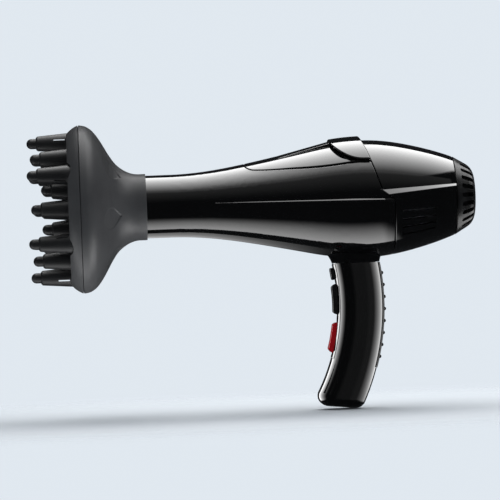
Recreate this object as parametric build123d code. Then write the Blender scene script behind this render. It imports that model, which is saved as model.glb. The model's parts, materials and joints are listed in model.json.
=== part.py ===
from build123d import *
import os
from functools import lru_cache
from math import cos, radians, sin, sqrt, tan

# A hand-held hair dryer with a fingered diffuser pushed onto its outlet. Millimetres.
# Pieces are drawn with the barrel axis on X, the outlet towards -X and the handle below,
# and are moved at the end so that the origin lies in the middle of the grip.

# Body, a form turned about the barrel axis: stations of its outer curve
WALL = 2.2
OUTLET_X = -142.0
BARREL_R = 25.0
BARREL_END_X = -104.0
CONE_X = -40.0
CONE_R = 32.2
SHOULDER_X = 0.0
SHOULDER_R = 40.4
BELLY_X = 51.0
BELLY_R = 46.9
TAIL_X = 92.0
TAIL_R = 41.1
REAR_X = 122.4
REAR_R = 31.5
REAR_SLOPE = 0.40
FIT_GAP = 0.3
EDGE_ROUND = 0.55
SKIN_NEAR = 0.02
SPAN = 160.0

# Parting of the front and rear housings, a slanted line with a step at the waist
SEAM_GAP = 0.5
SEAM_KNEE_X = 62.0
SEAM_KNEE_Z = 6.0
SEAM_STEP_X = 72.0
SEAM_STEP_Z = -2.0
SEAM_LEAN = 17.6

# Waist ridge along both sides: a fine step on the front housing, a broad ledge on the rear one
STEP_START_X = -69.0
STEP_START_Z = 0.8
STEP_START_HEIGHT = 0.12
STEP_START_RISE = 0.1
STEP_END_Z = -0.8
STEP_END_HEIGHT = 1.2
STEP_END_RISE = 1.0
LEDGE_START_Z = 5.8
LEDGE_START_HEIGHT = 4.4
LEDGE_START_RISE = 3.2
LEDGE_END_Z = 8.8
LEDGE_END_HEIGHT = 1.4
LEDGE_END_RISE = 1.0
RIDGE_FALL = 3.0
RIDGE_SINK = 0.4
RIDGE_ROUND = 0.3
RIDGE_STATIONS = 7

# Top panel with its raised spine
PANEL_NOSE_X = -43.5
PANEL_NOSE_Y = 10.0
PANEL_TURN_X = -37.0
PANEL_TURN_Y = 19.6
PANEL_MID_X = -8.0
PANEL_MID_Y = 28.2
PANEL_FULL_X = 35.0
PANEL_FULL_Y = 36.0
PANEL_GAP = 0.5
SPINE_START_X = -18.0
SPINE_HALF_WIDTH = 13.0
SPINE_RISE = 1.7
SPINE_ROUND = 0.5

# Visor over the rear of the top panel, and the shallow hollow below its brow
VISOR_RISE = 3.5
VISOR_FRONT_X = 24.0
VISOR_FRONT_Z = 45.6
VISOR_FRONT_FALL = 2.0
VISOR_BROW_X = 30.6
VISOR_BROW_Z = 38.1
VISOR_LOW_X = 50.0
VISOR_LOW_Z = 30.9
VISOR_ROUND = 0.8
HOLLOW_DROP = 5.0
HOLLOW_DEPTH = 0.9

# Intake louvres in both sides of the rear housing
LOUVRE_COUNT = 4
LOUVRE_X = 78.0
LOUVRE_LENGTH = 27.0
LOUVRE_FIRST = 15.0
LOUVRE_STEP = 9.0
LOUVRE_HEIGHT = 1.6

# Rear filter cap
CAP_END_X = 138.5
CAP_SHOULDER_X = 133.4
CAP_SHOULDER_R = 25.2
CAP_FACE_R = 10.0
CAP_WALL = 1.9
CAP_SKIRT = 8.0
CAP_SLOTS = 24
CAP_SLOT_LENGTH = 12.6
CAP_SLOT_WIDTH = 3.6
CAP_ROUND = 0.5
MESH_THICK = 0.8
MESH_PITCH = 5.6
MESH_HOLE = 4.4

# Diffuser: collar and bowl
COLLAR_END_X = -123.2
COLLAR_R = 26.4
COLLAR_STRAIGHT = 6.0
COLLAR_SLIP = 0.35
STOP_LIP = 1.8
STOP_THICK = 2.0
BOWL_WALL = 1.6
FLARE_X = -142.0
FLARE_R = 30.6
BOWL_MID_X = -152.5
BOWL_MID_R = 42.7
BOWL_HIP_X = -164.0
BOWL_HIP_R = 61.3
RIM_X = -175.0
RIM_R = 67.0
LEAF_COUNT = 6
LEAF_FIRST = -9.0
LEAF_LENGTH = 21.0
LEAF_WIDTH = 15.0
LEAF_DEPTH = 0.9
LEAF_POINT = 0.45
LEAF_ROUND = 0.7
BOWL_ROUND = 0.5

# Diffuser: front ring with its face plate, and the fingers
LIP_X = -184.7
LIP_R = 60.3
LIP_WIDTH = 1.8
LIP_ROUND = 0.8
FACE_X = -181.0
FACE_THICK = 2.0
FACE_SPIGOT = 4.0
FINGER_BASE_R = 8.0
FINGER_END_R = 5.9
FINGER_BEVEL = 1.2
FINGER_WALL = 1.6
FINGER_ROUND = 0.4
NUB_R = 4.1
NUB_LENGTH = 7.6
FINGERS_PER_RING = 6
OUTER_RING_R = 53.5
OUTER_TIP_X = -216.5
MIDDLE_RING_R = 46.4
MIDDLE_TIP_X = -214.0
INNER_RING_R = 31.0
INNER_TIP_X = -206.0
POCKET_GAP = 1.7
SLIT_OFFSET = 2.6
SLIT_THICK = 1.1
SLIT_START = 5.0
SLIT_LENGTH = 9.0
AIR_RING_R = (18.0, 33.0, 50.4)
AIR_HOLE_R = (3.5, 4.4, 3.0)
AIR_TURN = 15.0

# Neck between the body and the handle
NECK_TOP_X = 40.5
NECK_TOP_Z = -36.0
NECK_TOP_LENGTH = 57.0
NECK_TOP_WIDTH = 42.0
NECK_WAIST_DROP = 11.0
NECK_WAIST_SHARE = 0.12
NECK_BORE_R = 10.0

# Handle, bent to an arc whose centre lies ahead of it
ARC_X = -124.6
ARC_Z = -81.5
ARC_R = 170.0
ARC_START = -20.0
ARC_END = 42.0
HANDLE_TOP_Z = -50.8
HANDLE_DEPTH = 37.0
HANDLE_WIDTH = 34.0
HANDLE_CORNER = 14.0
HANDLE_WALL = 2.6
HALF_GAP = 0.2
FOOT_X = 26.6
FOOT_Z = -165.4
FOOT_TILT = 6.0
FOOT_ROUND = 8.0
GRIP_ANGLE = 3.0

# Switch plate on the front of the handle
PLATE_START = -11.3
PLATE_END = 17.0
PLATE_WIDTH = 19.0
PLATE_PROUD = 0.3
PLATE_DEPTH = 1.2

# Rocker switches: both stand at one end of their travel
PIVOT_DEPTH = 5.6
ROCKER_SWEEP_R = 13.4
ROCKER_WIDTH = 11.0
ROCKER_TRAVEL = 16.0
ROCKER_FLUSH = 1.2
ROCKER_HUB_R = 3.2
ROCKER_FLOOR = 2.5
ROCKER_GAP = 0.4
ROCKER_ROUND = 0.5
SPEED_ANGLE = -0.8
HEAT_ANGLE = 10.9
PIN_R = 1.0
PIN_CLEARANCE = 0.06
SWITCH_EAR = 1.6
SWITCH_TOP = -4.0
SWITCH_DEPTH = 11.0

# Cool-shot button, with its stem in a micro switch
BUTTON_ANGLE = -8.6
BUTTON_LENGTH = 9.6
BUTTON_WIDTH = 10.0
BUTTON_CORNER = 3.0
BUTTON_PROUD = 3.2
BUTTON_DOME = 0.9
BUTTON_TRAVEL = 2.5
BUTTON_FLANGE = 1.0
BUTTON_FLANGE_THICK = 1.2
STEM_R = 2.0
STEM_LENGTH = 7.0
MICRO_DEPTH = 9.0
MICRO_LENGTH = 12.0
MICRO_WIDTH = 14.0

# Ribbed rubber strip on the back of the handle
STRIP_END = 16.5
STRIP_WIDTH = 20.0
STRIP_DEPTH = 1.2
STRIP_PROUD = 0.5
RIB_COUNT = 8
RIB_FIRST = -6.7
RIB_PITCH = 9.6
RIB_R = 1.5

# Cord inlet bush in the foot
INLET_BORE_R = 3.6
INLET_R = 6.4
INLET_FLANGE = 1.8
INLET_FLANGE_THICK = 2.0
INLET_LENGTH = 10.0

# Screws that hold the handle halves, put in from the right side
SCREW_R = 1.5
SCREW_HEAD_R = 3.0
SCREW_HEAD = 2.2
SCREW_SINK = 1.2
SCREW_LENGTH = 22.0
SCREW_BOSS_R = 3.8
SCREW_ARC_R = 178.0
SCREW_ANGLES = (-4.0, 9.0, 22.0)

# Motor and fan
DUCT_R = 31.6
DUCT_WALL = 1.6
DUCT_X0 = 46.0
DUCT_X1 = 108.0
FLANGE_X = 76.0
FLANGE_THICK = 2.4
VANES = 5
VANE_THICK = 1.2
VANE_X0 = 56.0
VANE_X1 = 80.0
CAN_R = 14.1
CAN_WALL = 1.2
CAN_X0 = 50.0
CAN_X1 = 84.0
END_CAP_THICK = 2.4
BUSH_R = 4.0
BUSH_LENGTH = 4.0
SHAFT_R = 1.6
SHAFT_X0 = 47.5
SHAFT_X1 = 101.0
SHAFT_CLEARANCE = 0.04
ARMATURE_R = 9.6
ARMATURE_X0 = 57.0
ARMATURE_X1 = 73.0
ARMATURE_SLOTS = 5
ARMATURE_SLOT_R = 1.8
AIR_GAP = 0.6
MAGNET_THICK = 2.3
MAGNET_SPREAD = 130.0
COMMUTATOR_R = 4.2
COMMUTATOR_X0 = 75.0
COMMUTATOR_X1 = 80.0
BRUSH_WIDTH = 3.0
BRUSH_LENGTH = 6.0
FAN_X = 96.0
FAN_LENGTH = 13.0
FAN_HUB_R = 12.5
FAN_NOSE = 4.0
FAN_BLADES = 7
FAN_GAP = 0.8
BLADE_THICK = 1.4
BLADE_CHORD = 13.0
BLADE_ROOT_TURN = 35.0
BLADE_TIP_TURN = 52.0

# Heater in the barrel
GRILLE_SETBACK = 2.0
GRILLE_THICK = 3.0
GRILLE_BAR = 1.4
GRILLE_RINGS = 3
GRILLE_SPOKES = 6
SLEEVE_WALL = 0.8
SLEEVE_LENGTH = 78.0
CARD_THICK = 1.0
CARD_LENGTH = 68.0
WIRE_R = 0.6
WIRE_LOOPS = 6
WIRE_PITCH = 5.0
WIRE_ROOT = 4.0
WIRE_REACH = 15.0
CUTOUT_SIZE = (9.0, 3.5, 6.0)


def profile(inset):
    """Curves of the body's half outline, from outlet to rear, drawn in by inset."""
    def at(x, radius):
        return (x, 0, radius - inset)

    barrel = Line(at(OUTLET_X, BARREL_R), at(BARREL_END_X, BARREL_R))
    swell = Spline(
        at(BARREL_END_X, BARREL_R), at(CONE_X, CONE_R), at(SHOULDER_X, SHOULDER_R), at(BELLY_X, BELLY_R),
        tangents=[(1, 0, 0), (1, 0, 0)])
    tail = Spline(
        at(BELLY_X, BELLY_R), at(TAIL_X, TAIL_R), at(REAR_X, REAR_R),
        tangents=[(1, 0, 0), (1, 0, -REAR_SLOPE)])
    return [barrel, swell, tail]


@lru_cache
def body(inset):
    """Solid inside the body's outer curve drawn in by inset."""
    curves = profile(inset)
    first = curves[0] @ 0
    last = curves[-1] @ 1
    ends = Polyline(last, (last.X, 0, 0), (first.X, 0, 0), first)
    return revolve(make_face(curves + ends.edges()), Axis.X)


def body_radius(x):
    """Outer radius of the body at x, found on the outline by halving."""
    curve = next(c for c in profile(0) if (c @ 1).X >= x)
    low, high = 0.0, 1.0
    for _ in range(40):
        middle = (low + high) / 2
        if (curve @ middle).X < x:
            low = middle
        else:
            high = middle
    return (curve @ low).Z


def side_prism(edges):
    """Prism through the whole width from a closed outline in the side view."""
    return extrude(make_face(edges), amount=SPAN, dir=(0, 1, 0), both=True)


def side_polygon(*corners):
    """Prism through the whole width from (x, z) corners in the side view."""
    return side_prism(Polyline(*[(x, 0, z) for x, z in corners], close=True).edges())


def seam_points(shift):
    """Corners of the housing seam from above to below, moved rearwards by shift."""
    top_x = SEAM_KNEE_X - (SPAN - SEAM_KNEE_Z) * tan(radians(SEAM_LEAN))
    return [(top_x + shift, SPAN), (SEAM_KNEE_X + shift, SEAM_KNEE_Z),
            (SEAM_STEP_X + shift, SEAM_STEP_Z), (SEAM_STEP_X + shift, -SPAN)]


def front_zone():
    return side_polygon(*seam_points(0), (OUTLET_X - SPAN, -SPAN), (OUTLET_X - SPAN, SPAN))


def rear_zone():
    return side_polygon(*seam_points(SEAM_GAP), (REAR_X + SPAN, -SPAN), (REAR_X + SPAN, SPAN))


def panel_zone(grow):
    """Prism above the axis over the plan of the top panel, grown by grow."""
    nose = Line((PANEL_NOSE_X - grow, 0), (PANEL_NOSE_X - grow, PANEL_NOSE_Y))
    turn = TangentArc(nose @ 1, (PANEL_TURN_X, PANEL_TURN_Y + grow), tangent=nose % 1)
    edge = Spline(turn @ 1, (PANEL_MID_X, PANEL_MID_Y + grow), (PANEL_FULL_X, PANEL_FULL_Y + grow),
                  tangents=[turn % 1, (1, 0)])
    side = edge @ 1
    half = nose.edges() + turn.edges() + edge.edges()
    back = Polyline(side, (REAR_X, side.Y), (REAR_X, -side.Y), (side.X, -side.Y))
    other = [mirror(line, Plane.XZ) for line in half]
    return extrude(make_face(half + back.edges() + other), amount=SPAN)


def visor_zone(drop):
    """Prism over the side view of the visor, with the front of its brow lowered by drop."""
    front = (VISOR_FRONT_X, 0, VISOR_FRONT_Z - drop)
    low = (VISOR_LOW_X, 0, VISOR_LOW_Z)
    brow = Spline(front, (VISOR_BROW_X, 0, VISOR_BROW_Z - drop), low,
                  tangents=[(1, 0, -VISOR_FRONT_FALL), (1, 0, 0)])
    rest = Polyline(low, (REAR_X, 0, low[2]), (REAR_X, 0, SPAN), (VISOR_FRONT_X, 0, SPAN), front)
    return side_prism(brow.edges() + rest.edges())


def rim_edges(part, inset):
    """Edges round a piece of the skin that lies inset below the body's outer curve."""
    def on_skin(point):
        x = min(max(point.X, OUTLET_X), REAR_X)
        return abs(sqrt(point.Y ** 2 + point.Z ** 2) + inset - body_radius(x)) < SKIN_NEAR

    def inside_skin(points):
        joints = all(min(abs(p.X - BELLY_X), abs(p.X - BARREL_END_X)) < SKIN_NEAR for p in points)
        return joints or all(abs(p.Y) < SKIN_NEAR for p in points)

    edges = []
    for edge in part.edges():
        points = [edge @ share for share in (0.1, 0.5, 0.9)]
        if all(on_skin(p) for p in points) and not inside_skin(points):
            edges.append(edge)
    return edges


def waist_ridge(start, end):
    """Ridge on both sides between two (x, top z, height, rise) ends, its upper face turned upwards."""
    sections = []
    for k in range(RIDGE_STATIONS):
        share = k / (RIDGE_STATIONS - 1)
        x, top, height, rise = [a + (b - a) * share for a, b in zip(start, end)]
        radius = body_radius(x)
        sink = RIDGE_SINK * rise
        low = top - height
        foot = low - RIDGE_FALL * rise
        foot_y = sqrt(radius ** 2 - foot ** 2)
        section = make_face(Polyline(
            (sqrt(radius ** 2 - top ** 2) - sink, top + RIDGE_SINK * height), (radius + rise, low),
            (foot_y - sink / 2, foot), (foot_y - WALL / 2, foot), close=True))
        crest = section.vertices().sort_by(Axis.X)[-1]
        section = fillet(crest, RIDGE_ROUND * rise)
        sections.append(Plane((x, 0, 0), x_dir=(0, -1, 0), z_dir=(-1, 0, 0)) * section)
    left = loft(sections)
    return [left, mirror(left, Plane.XZ)]


def front_housing():
    """Barrel and belly in one shell, open at the top for the panel."""
    zone = front_zone()
    part = ((body(0) - body(WALL)) & zone) - panel_zone(PANEL_GAP)
    part = fillet(rim_edges(part, 0), EDGE_ROUND)
    start = (STEP_START_X, STEP_START_Z, STEP_START_HEIGHT, STEP_START_RISE)
    end = (SEAM_STEP_X + SEAM_GAP, STEP_END_Z, STEP_END_HEIGHT, STEP_END_RISE)
    part += [ridge & zone for ridge in waist_ridge(start, end)]
    neck_x = handle_level_x(HANDLE_TOP_Z)
    return part - Pos(neck_x, 0, -BELLY_R) * Cylinder(NECK_BORE_R, BELLY_R)


def top_panel():
    """Cover let into the top of the front housing, with a spine that rises to the visor."""
    part = (body(0) - body(WALL)) & front_zone() & panel_zone(0)
    part = fillet(rim_edges(part, 0), EDGE_ROUND)
    start = body_radius(SPINE_START_X)
    finish = body_radius(VISOR_FRONT_X)
    ramp = Polyline(
        (SPINE_START_X, 0, start - WALL / 2), (SPINE_START_X, 0, start),
        (VISOR_FRONT_X - FIT_GAP, 0, finish + SPINE_RISE), (VISOR_FRONT_X - FIT_GAP, 0, finish - WALL / 2),
        close=True)
    band = Pos(0, 0, SPAN / 2) * Box(2 * SPAN, 2 * SPINE_HALF_WIDTH, SPAN)
    part += revolve(make_face(ramp), Axis.X) & band
    part = fillet(part.edges().filter_by(GeomType.HYPERBOLA), SPINE_ROUND)
    hollow = (body(-1) - body(HOLLOW_DEPTH)) & visor_zone(HOLLOW_DROP)
    return part - hollow


def top_visor():
    """Raised hood over the rear of the panel, its back edge on the housing seam."""
    part = (body(-VISOR_RISE) - body(HOLLOW_DEPTH - FIT_GAP)) & visor_zone(0) & front_zone()
    return fillet(rim_edges(part, -VISOR_RISE), VISOR_ROUND)


def rear_housing():
    """Tail shell with a waist ledge on both sides and intake louvres below."""
    zone = rear_zone()
    part = (body(0) - body(WALL)) & zone
    part = fillet(rim_edges(part, 0), EDGE_ROUND)
    start = (SEAM_KNEE_X, LEDGE_START_Z, LEDGE_START_HEIGHT, LEDGE_START_RISE)
    end = (REAR_X, LEDGE_END_Z, LEDGE_END_HEIGHT, LEDGE_END_RISE)
    part += [ridge & zone for ridge in waist_ridge(start, end)]
    slot = Pos(LOUVRE_X + LOUVRE_LENGTH / 2, -SPAN / 2, 0) * Box(LOUVRE_LENGTH, SPAN, LOUVRE_HEIGHT)
    for k in range(LOUVRE_COUNT):
        left = Rot(X=LOUVRE_FIRST + k * LOUVRE_STEP) * slot
        part -= [left, mirror(left, Plane.XZ)]
    return part


def turned(*corners):
    """Solid turned about the barrel axis from (x, radius) corners."""
    return revolve(make_face(Polyline(*[(x, 0, r) for x, r in corners], close=True)), Axis.X)


def tube(x0, x1, outer, inner):
    """Round tube on the barrel axis."""
    return turned((x0, inner), (x0, outer), (x1, outer), (x1, inner))


def round_x(piece, count, first=0.0):
    """Copies of a piece spaced evenly about the barrel axis."""
    return [Rot(X=first + 360.0 / count * k) * piece for k in range(count)]


def skirt_radius():
    """Outer radius of the filter cap's skirt, a slip fit in the tail of the rear housing."""
    return REAR_R - WALL - FIT_GAP


def rear_filter_cap():
    """Pull-off end cap with a ring of air slots along its flank."""
    x0 = REAR_X + SEAM_GAP
    skirt = skirt_radius()
    flank = Line((x0, 0, REAR_R), (CAP_SHOULDER_X, 0, CAP_SHOULDER_R))
    crown = TangentArc(flank @ 1, (CAP_END_X, 0, CAP_FACE_R), tangent=flank % 1)
    inner_r = skirt - CAP_WALL
    rest = Polyline(
        crown @ 1, (CAP_END_X, 0, 0), (CAP_END_X - CAP_WALL, 0, 0), (CAP_END_X - CAP_WALL, 0, CAP_FACE_R),
        (CAP_SHOULDER_X - CAP_WALL / 2, 0, CAP_SHOULDER_R - CAP_WALL), (x0 + CAP_WALL, 0, inner_r),
        (x0 - CAP_SKIRT, 0, inner_r), (x0 - CAP_SKIRT, 0, skirt), (x0, 0, skirt), flank @ 0)
    part = revolve(make_face(flank.edges() + crown.edges() + rest.edges()), Axis.X)
    rim = [edge for edge in part.edges().filter_by(GeomType.CIRCLE) if abs(edge.radius - REAR_R) < FIT_GAP]
    part = fillet(rim, CAP_ROUND)
    along = (crown @ 0.5 - flank @ 0.2).normalized()
    middle = (crown @ 0.5 + flank @ 0.2) / 2
    plane = Plane(middle, x_dir=along, z_dir=(-along.Z, 0, along.X))
    slot = extrude(plane * SlotOverall(CAP_SLOT_LENGTH, CAP_SLOT_WIDTH), amount=2 * CAP_WALL, both=True)
    return part - round_x(slot, CAP_SLOTS)


def filter_mesh():
    """Round lint screen held in the skirt of the filter cap."""
    radius = skirt_radius() - CAP_WALL - FIT_GAP
    x0 = REAR_X + SEAM_GAP - CAP_SKIRT / 2
    reach = radius - MESH_PITCH / 2
    count = int(2 * radius / MESH_PITCH)
    holes = [spot for spot in GridLocations(MESH_PITCH, MESH_PITCH, count, count)
             if spot.position.length < reach - MESH_HOLE / 4]
    face = Circle(radius) - [spot * Rectangle(MESH_HOLE, MESH_HOLE) for spot in holes]
    return extrude(Plane.YZ.offset(x0) * face, amount=MESH_THICK)


def bowl_curves(shift):
    """Outer curves of the diffuser's collar and bowl, moved forwards and in by shift."""
    def at(x, radius):
        return (x - shift, 0, radius - shift)

    collar = Line(at(COLLAR_END_X, COLLAR_R), at(COLLAR_END_X - COLLAR_STRAIGHT, COLLAR_R))
    flare = Spline(
        collar @ 1, at(FLARE_X, FLARE_R), at(BOWL_MID_X, BOWL_MID_R), at(BOWL_HIP_X, BOWL_HIP_R),
        (RIM_X, 0, RIM_R - shift), tangents=[(-1, 0, 0), (-1, 0, 0)])
    return collar, flare


def bowl_solid(shift):
    """Solid inside the diffuser's outer curves, moved forwards and in by shift."""
    collar, flare = bowl_curves(shift)
    rest = Polyline(flare @ 1, (RIM_X, 0, 0), ((collar @ 0).X, 0, 0), collar @ 0)
    return revolve(make_face(collar.edges() + flare.edges() + rest.edges()), Axis.X)


def leaf(plane):
    """Leaf outline on a plane, with its point towards +x of the plane."""
    half = LEAF_LENGTH / 2
    belly = LEAF_LENGTH / 10
    upper = Spline((half, 0), (-belly, LEAF_WIDTH / 2), (-half, 0), tangents=[(-1, LEAF_POINT), (0, -1)])
    return plane * make_face(upper.edges() + mirror(upper, Plane.XZ).edges())


def diffuser_bowl():
    """Collar that slips over the outlet and flares to a bowl, with leaf recesses round it."""
    stop_x = OUTLET_X - FIT_GAP
    hollow = bowl_solid(BOWL_WALL) & tube(RIM_X - 1, stop_x - STOP_THICK, SPAN, 0)
    part = bowl_solid(0) - hollow
    part -= tube(stop_x, COLLAR_END_X + 1, BARREL_R + COLLAR_SLIP, 0)
    part -= tube(RIM_X - 1, COLLAR_END_X, BARREL_R - STOP_LIP, 0)
    middle = Vector(BOWL_MID_X, 0, BOWL_MID_R)
    along = (Vector(FLARE_X, 0, FLARE_R) - middle).normalized()
    plane = Plane(middle + along * LEAF_LENGTH / 6, x_dir=along, z_dir=(-along.Z, 0, along.X))
    prism = extrude(leaf(plane), amount=LEAF_LENGTH / 2, both=True)
    skin = bowl_solid(-1) - bowl_solid(LEAF_DEPTH)
    rims = [edge for edge in part.edges().filter_by(GeomType.CIRCLE)
            if (edge @ 0).X in (COLLAR_END_X, RIM_X)]
    part = fillet(rims, BOWL_ROUND)
    part -= [skin & cut for cut in round_x(prism, LEAF_COUNT, 90 - LEAF_FIRST)]
    flank = max(part.faces(), key=lambda face: len(face.inner_wires()))
    return fillet([edge for outline in flank.inner_wires() for edge in outline.edges()], LEAF_ROUND)


def ring_spot(radius, angle):
    """Place at a radius round the barrel axis, at an angle above the left-hand side."""
    a = radians(angle)
    return Pos(0, -radius * cos(a), radius * sin(a))


def outer_angles():
    return [180 / FINGERS_PER_RING + a for a in middle_angles()]


def middle_angles():
    return [360 / FINGERS_PER_RING * k for k in range(FINGERS_PER_RING)]


def disc(x0, x1, radius):
    """Round bar along the barrel axis."""
    return turned((x0, 0), (x0, radius), (x1, radius), (x1, 0))


def diffuser_face():
    """Front ring with a scalloped lip, and the plate that carries the fingers."""
    seam_x = RIM_X - SEAM_GAP
    middle_r = (RIM_R + LIP_R + LIP_WIDTH) / 2
    bulge = ThreePointArc((seam_x, 0, RIM_R), ((seam_x + LIP_X) / 2, 0, middle_r), (LIP_X, 0, LIP_R))
    spigot = RIM_R - BOWL_WALL - 2 * FIT_GAP
    rest = Polyline(
        bulge @ 1, (LIP_X, 0, LIP_R - LIP_WIDTH), (FACE_X, 0, LIP_R - LIP_WIDTH), (FACE_X, 0, 0),
        (FACE_X + FACE_THICK, 0, 0), (FACE_X + FACE_THICK, 0, spigot - 2 * BOWL_WALL),
        (seam_x + FACE_SPIGOT, 0, spigot - BOWL_WALL), (seam_x + FACE_SPIGOT, 0, spigot - FACE_SPIGOT / 5),
        (seam_x, 0, spigot), bulge @ 0)
    section = make_face(bulge.edges() + rest.edges())
    lip = [corner for corner in section.vertices() if abs(corner.X - LIP_X) < FIT_GAP]
    part = revolve(fillet(lip, LIP_ROUND), Axis.X)
    pocket = disc(LIP_X - 1, FACE_X, FINGER_BASE_R + POCKET_GAP)
    cuts = [ring_spot(OUTER_RING_R, a) * pocket for a in outer_angles()]
    beside = [a + s for a in middle_angles() for s in (-AIR_TURN, AIR_TURN)]
    angles = (middle_angles(), middle_angles(), beside)
    for radius, hole, around in zip(AIR_RING_R, AIR_HOLE_R, angles):
        drill = disc(FACE_X - 1, FACE_X + FACE_THICK + 1, hole)
        cuts += [ring_spot(radius, a) * drill for a in around]
    return part - cuts


def finger(tip_x):
    """One diffuser finger: a hollow tapered post with a bevelled shoulder and a round-ended nub."""
    nub_x = tip_x + NUB_LENGTH
    dome = ThreePointArc(
        (tip_x + NUB_R, 0, NUB_R), (tip_x + NUB_R * (1 - sqrt(0.5)), 0, NUB_R * sqrt(0.5)), (tip_x, 0, 0))
    rest = Polyline(
        (tip_x, 0, 0), (nub_x + FINGER_BEVEL, 0, 0), (nub_x + FINGER_BEVEL, 0, FINGER_END_R - FINGER_WALL),
        (FACE_X, 0, FINGER_BASE_R - FINGER_WALL), (FACE_X, 0, FINGER_BASE_R),
        (nub_x + FINGER_BEVEL, 0, FINGER_END_R),
        (nub_x, 0, FINGER_END_R - FINGER_BEVEL), (nub_x, 0, NUB_R), (tip_x + NUB_R, 0, NUB_R))
    section = make_face(dome.edges() + rest.edges())
    outer = [corner for corner in section.vertices() if corner.X < FACE_X - FINGER_BASE_R]
    shoulder = [corner for corner in outer if FINGER_END_R - FINGER_BEVEL <= corner.Z <= FINGER_END_R]
    return revolve(fillet(shoulder, FINGER_ROUND), Axis.X)


def outer_fingers():
    slit = Pos(FACE_X - SLIT_START - SLIT_LENGTH / 2, -SLIT_OFFSET, 0) * Box(SLIT_LENGTH, SLIT_THICK, SPAN)
    single = finger(OUTER_TIP_X) - slit
    return Compound([Rot(X=-a) * (Pos(0, -OUTER_RING_R, 0) * single) for a in outer_angles()])


def middle_fingers():
    return Compound([ring_spot(MIDDLE_RING_R, a) * finger(MIDDLE_TIP_X) for a in middle_angles()])


def inner_fingers():
    return Compound([ring_spot(INNER_RING_R, a) * finger(INNER_TIP_X) for a in outer_angles()])


def handle_point(radius, angle):
    """Point in the handle's plane of symmetry, at an angle below the arc's level line."""
    a = radians(angle)
    return Vector(ARC_X + radius * cos(a), 0, ARC_Z - radius * sin(a))


def handle_level_x(z):
    """X of the handle's middle line at a height."""
    return ARC_X + sqrt(ARC_R ** 2 - (z - ARC_Z) ** 2)


def front_frame(radius, angle):
    """Plane facing forwards out of the handle: x runs down it and y to the left side."""
    a = radians(angle)
    return Plane(handle_point(radius, angle), x_dir=(-sin(a), 0, -cos(a)), z_dir=(-cos(a), 0, sin(a)))


def arc_plane(radius, angle):
    """Plane across the handle's arc at an angle: x runs outwards and y to the right side."""
    a = radians(angle)
    return Plane(handle_point(radius, angle), x_dir=(cos(a), 0, -sin(a)), z_dir=(-sin(a), 0, -cos(a)))


def arc_sector(r0, r1, width, start, end):
    """Block bent round the handle's arc: from r0 to r1, as wide as width, between two angles."""
    section = arc_plane((r0 + r1) / 2, start) * Rectangle(r1 - r0, width)
    return revolve(section, Axis((ARC_X, 0, ARC_Z), (0, 1, 0)), end - start)


def foot_plane(lift):
    """Plane of the handle's foot, facing up, raised by lift."""
    t = radians(FOOT_TILT)
    return Plane((FOOT_X, 0, FOOT_Z), x_dir=(cos(t), 0, -sin(t)), z_dir=(sin(t), 0, cos(t))).offset(lift)


@lru_cache
def handle_solid(inset):
    """Solid inside the handle's outer skin drawn in by inset, its foot rounded."""
    section = RectangleRounded(
        HANDLE_DEPTH - 2 * inset, HANDLE_WIDTH - 2 * inset, HANDLE_CORNER - inset)
    section = arc_plane(ARC_R, ARC_START) * section
    part = revolve(section, Axis((ARC_X, 0, ARC_Z), (0, 1, 0)), ARC_END - ARC_START)
    part = split(part, bisect_by=Plane.XY.offset(HANDLE_TOP_Z), keep=Keep.BOTTOM)
    part = split(part, bisect_by=foot_plane(inset), keep=Keep.TOP)
    foot = part.faces().sort_by(Axis.Z)[0]
    return fillet(foot.edges(), max(FOOT_ROUND - inset, 1.0))


def front_r():
    """Radius of the handle's front on its arc."""
    return ARC_R - HANDLE_DEPTH / 2


def back_r():
    """Radius of the handle's back on its arc."""
    return ARC_R + HANDLE_DEPTH / 2


def plate_zone(grow):
    """Bent block over the switch plate, grown by grow on every side."""
    turn = grow / radians(1) / front_r()
    return arc_sector(
        front_r() - HANDLE_DEPTH / 2, ARC_R, PLATE_WIDTH + 2 * grow, PLATE_START - turn, PLATE_END + turn)


def strip_zone(grow):
    """Bent block over the rubber strip, grown by grow on every side."""
    turn = grow / radians(1) / back_r()
    return arc_sector(
        ARC_R, back_r() + HANDLE_DEPTH / 2, STRIP_WIDTH + 2 * grow, ARC_START, STRIP_END + turn)


def rocker_opening(angle):
    """Block through the switch plate and the handle wall round a rocker."""
    plane = front_frame(front_r() + PIVOT_DEPTH, angle)
    length = 2 * (ROCKER_SWEEP_R + ROCKER_GAP)
    return extrude(plane * Rectangle(length, ROCKER_WIDTH + 2 * ROCKER_GAP), amount=HANDLE_DEPTH / 2)


def button_opening():
    """Block through the switch plate and the handle wall round the cool-shot button."""
    plane = front_frame(front_r() + HANDLE_WALL + 1, BUTTON_ANGLE)
    grow = 2 * ROCKER_GAP
    hole = RectangleRounded(BUTTON_LENGTH + grow, BUTTON_WIDTH + grow, BUTTON_CORNER + ROCKER_GAP)
    return extrude(plane * hole, amount=HANDLE_DEPTH / 2)


def switch_openings():
    return [rocker_opening(SPEED_ANGLE), rocker_opening(HEAT_ANGLE), button_opening()]


def screw_line(angle):
    """Plane across the handle at a screw, facing the right side."""
    return Plane(handle_point(SCREW_ARC_R, angle), x_dir=(1, 0, 0), z_dir=(0, 1, 0))


def rod(plane, start, end, radius):
    """Round bar along a plane's normal."""
    return extrude(plane.offset(start) * Circle(radius), amount=end - start)


def screw_seat():
    """Distance of the screw head's underside from the handle's middle plane."""
    return HANDLE_WIDTH / 2 - SCREW_SINK - SCREW_HEAD


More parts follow.
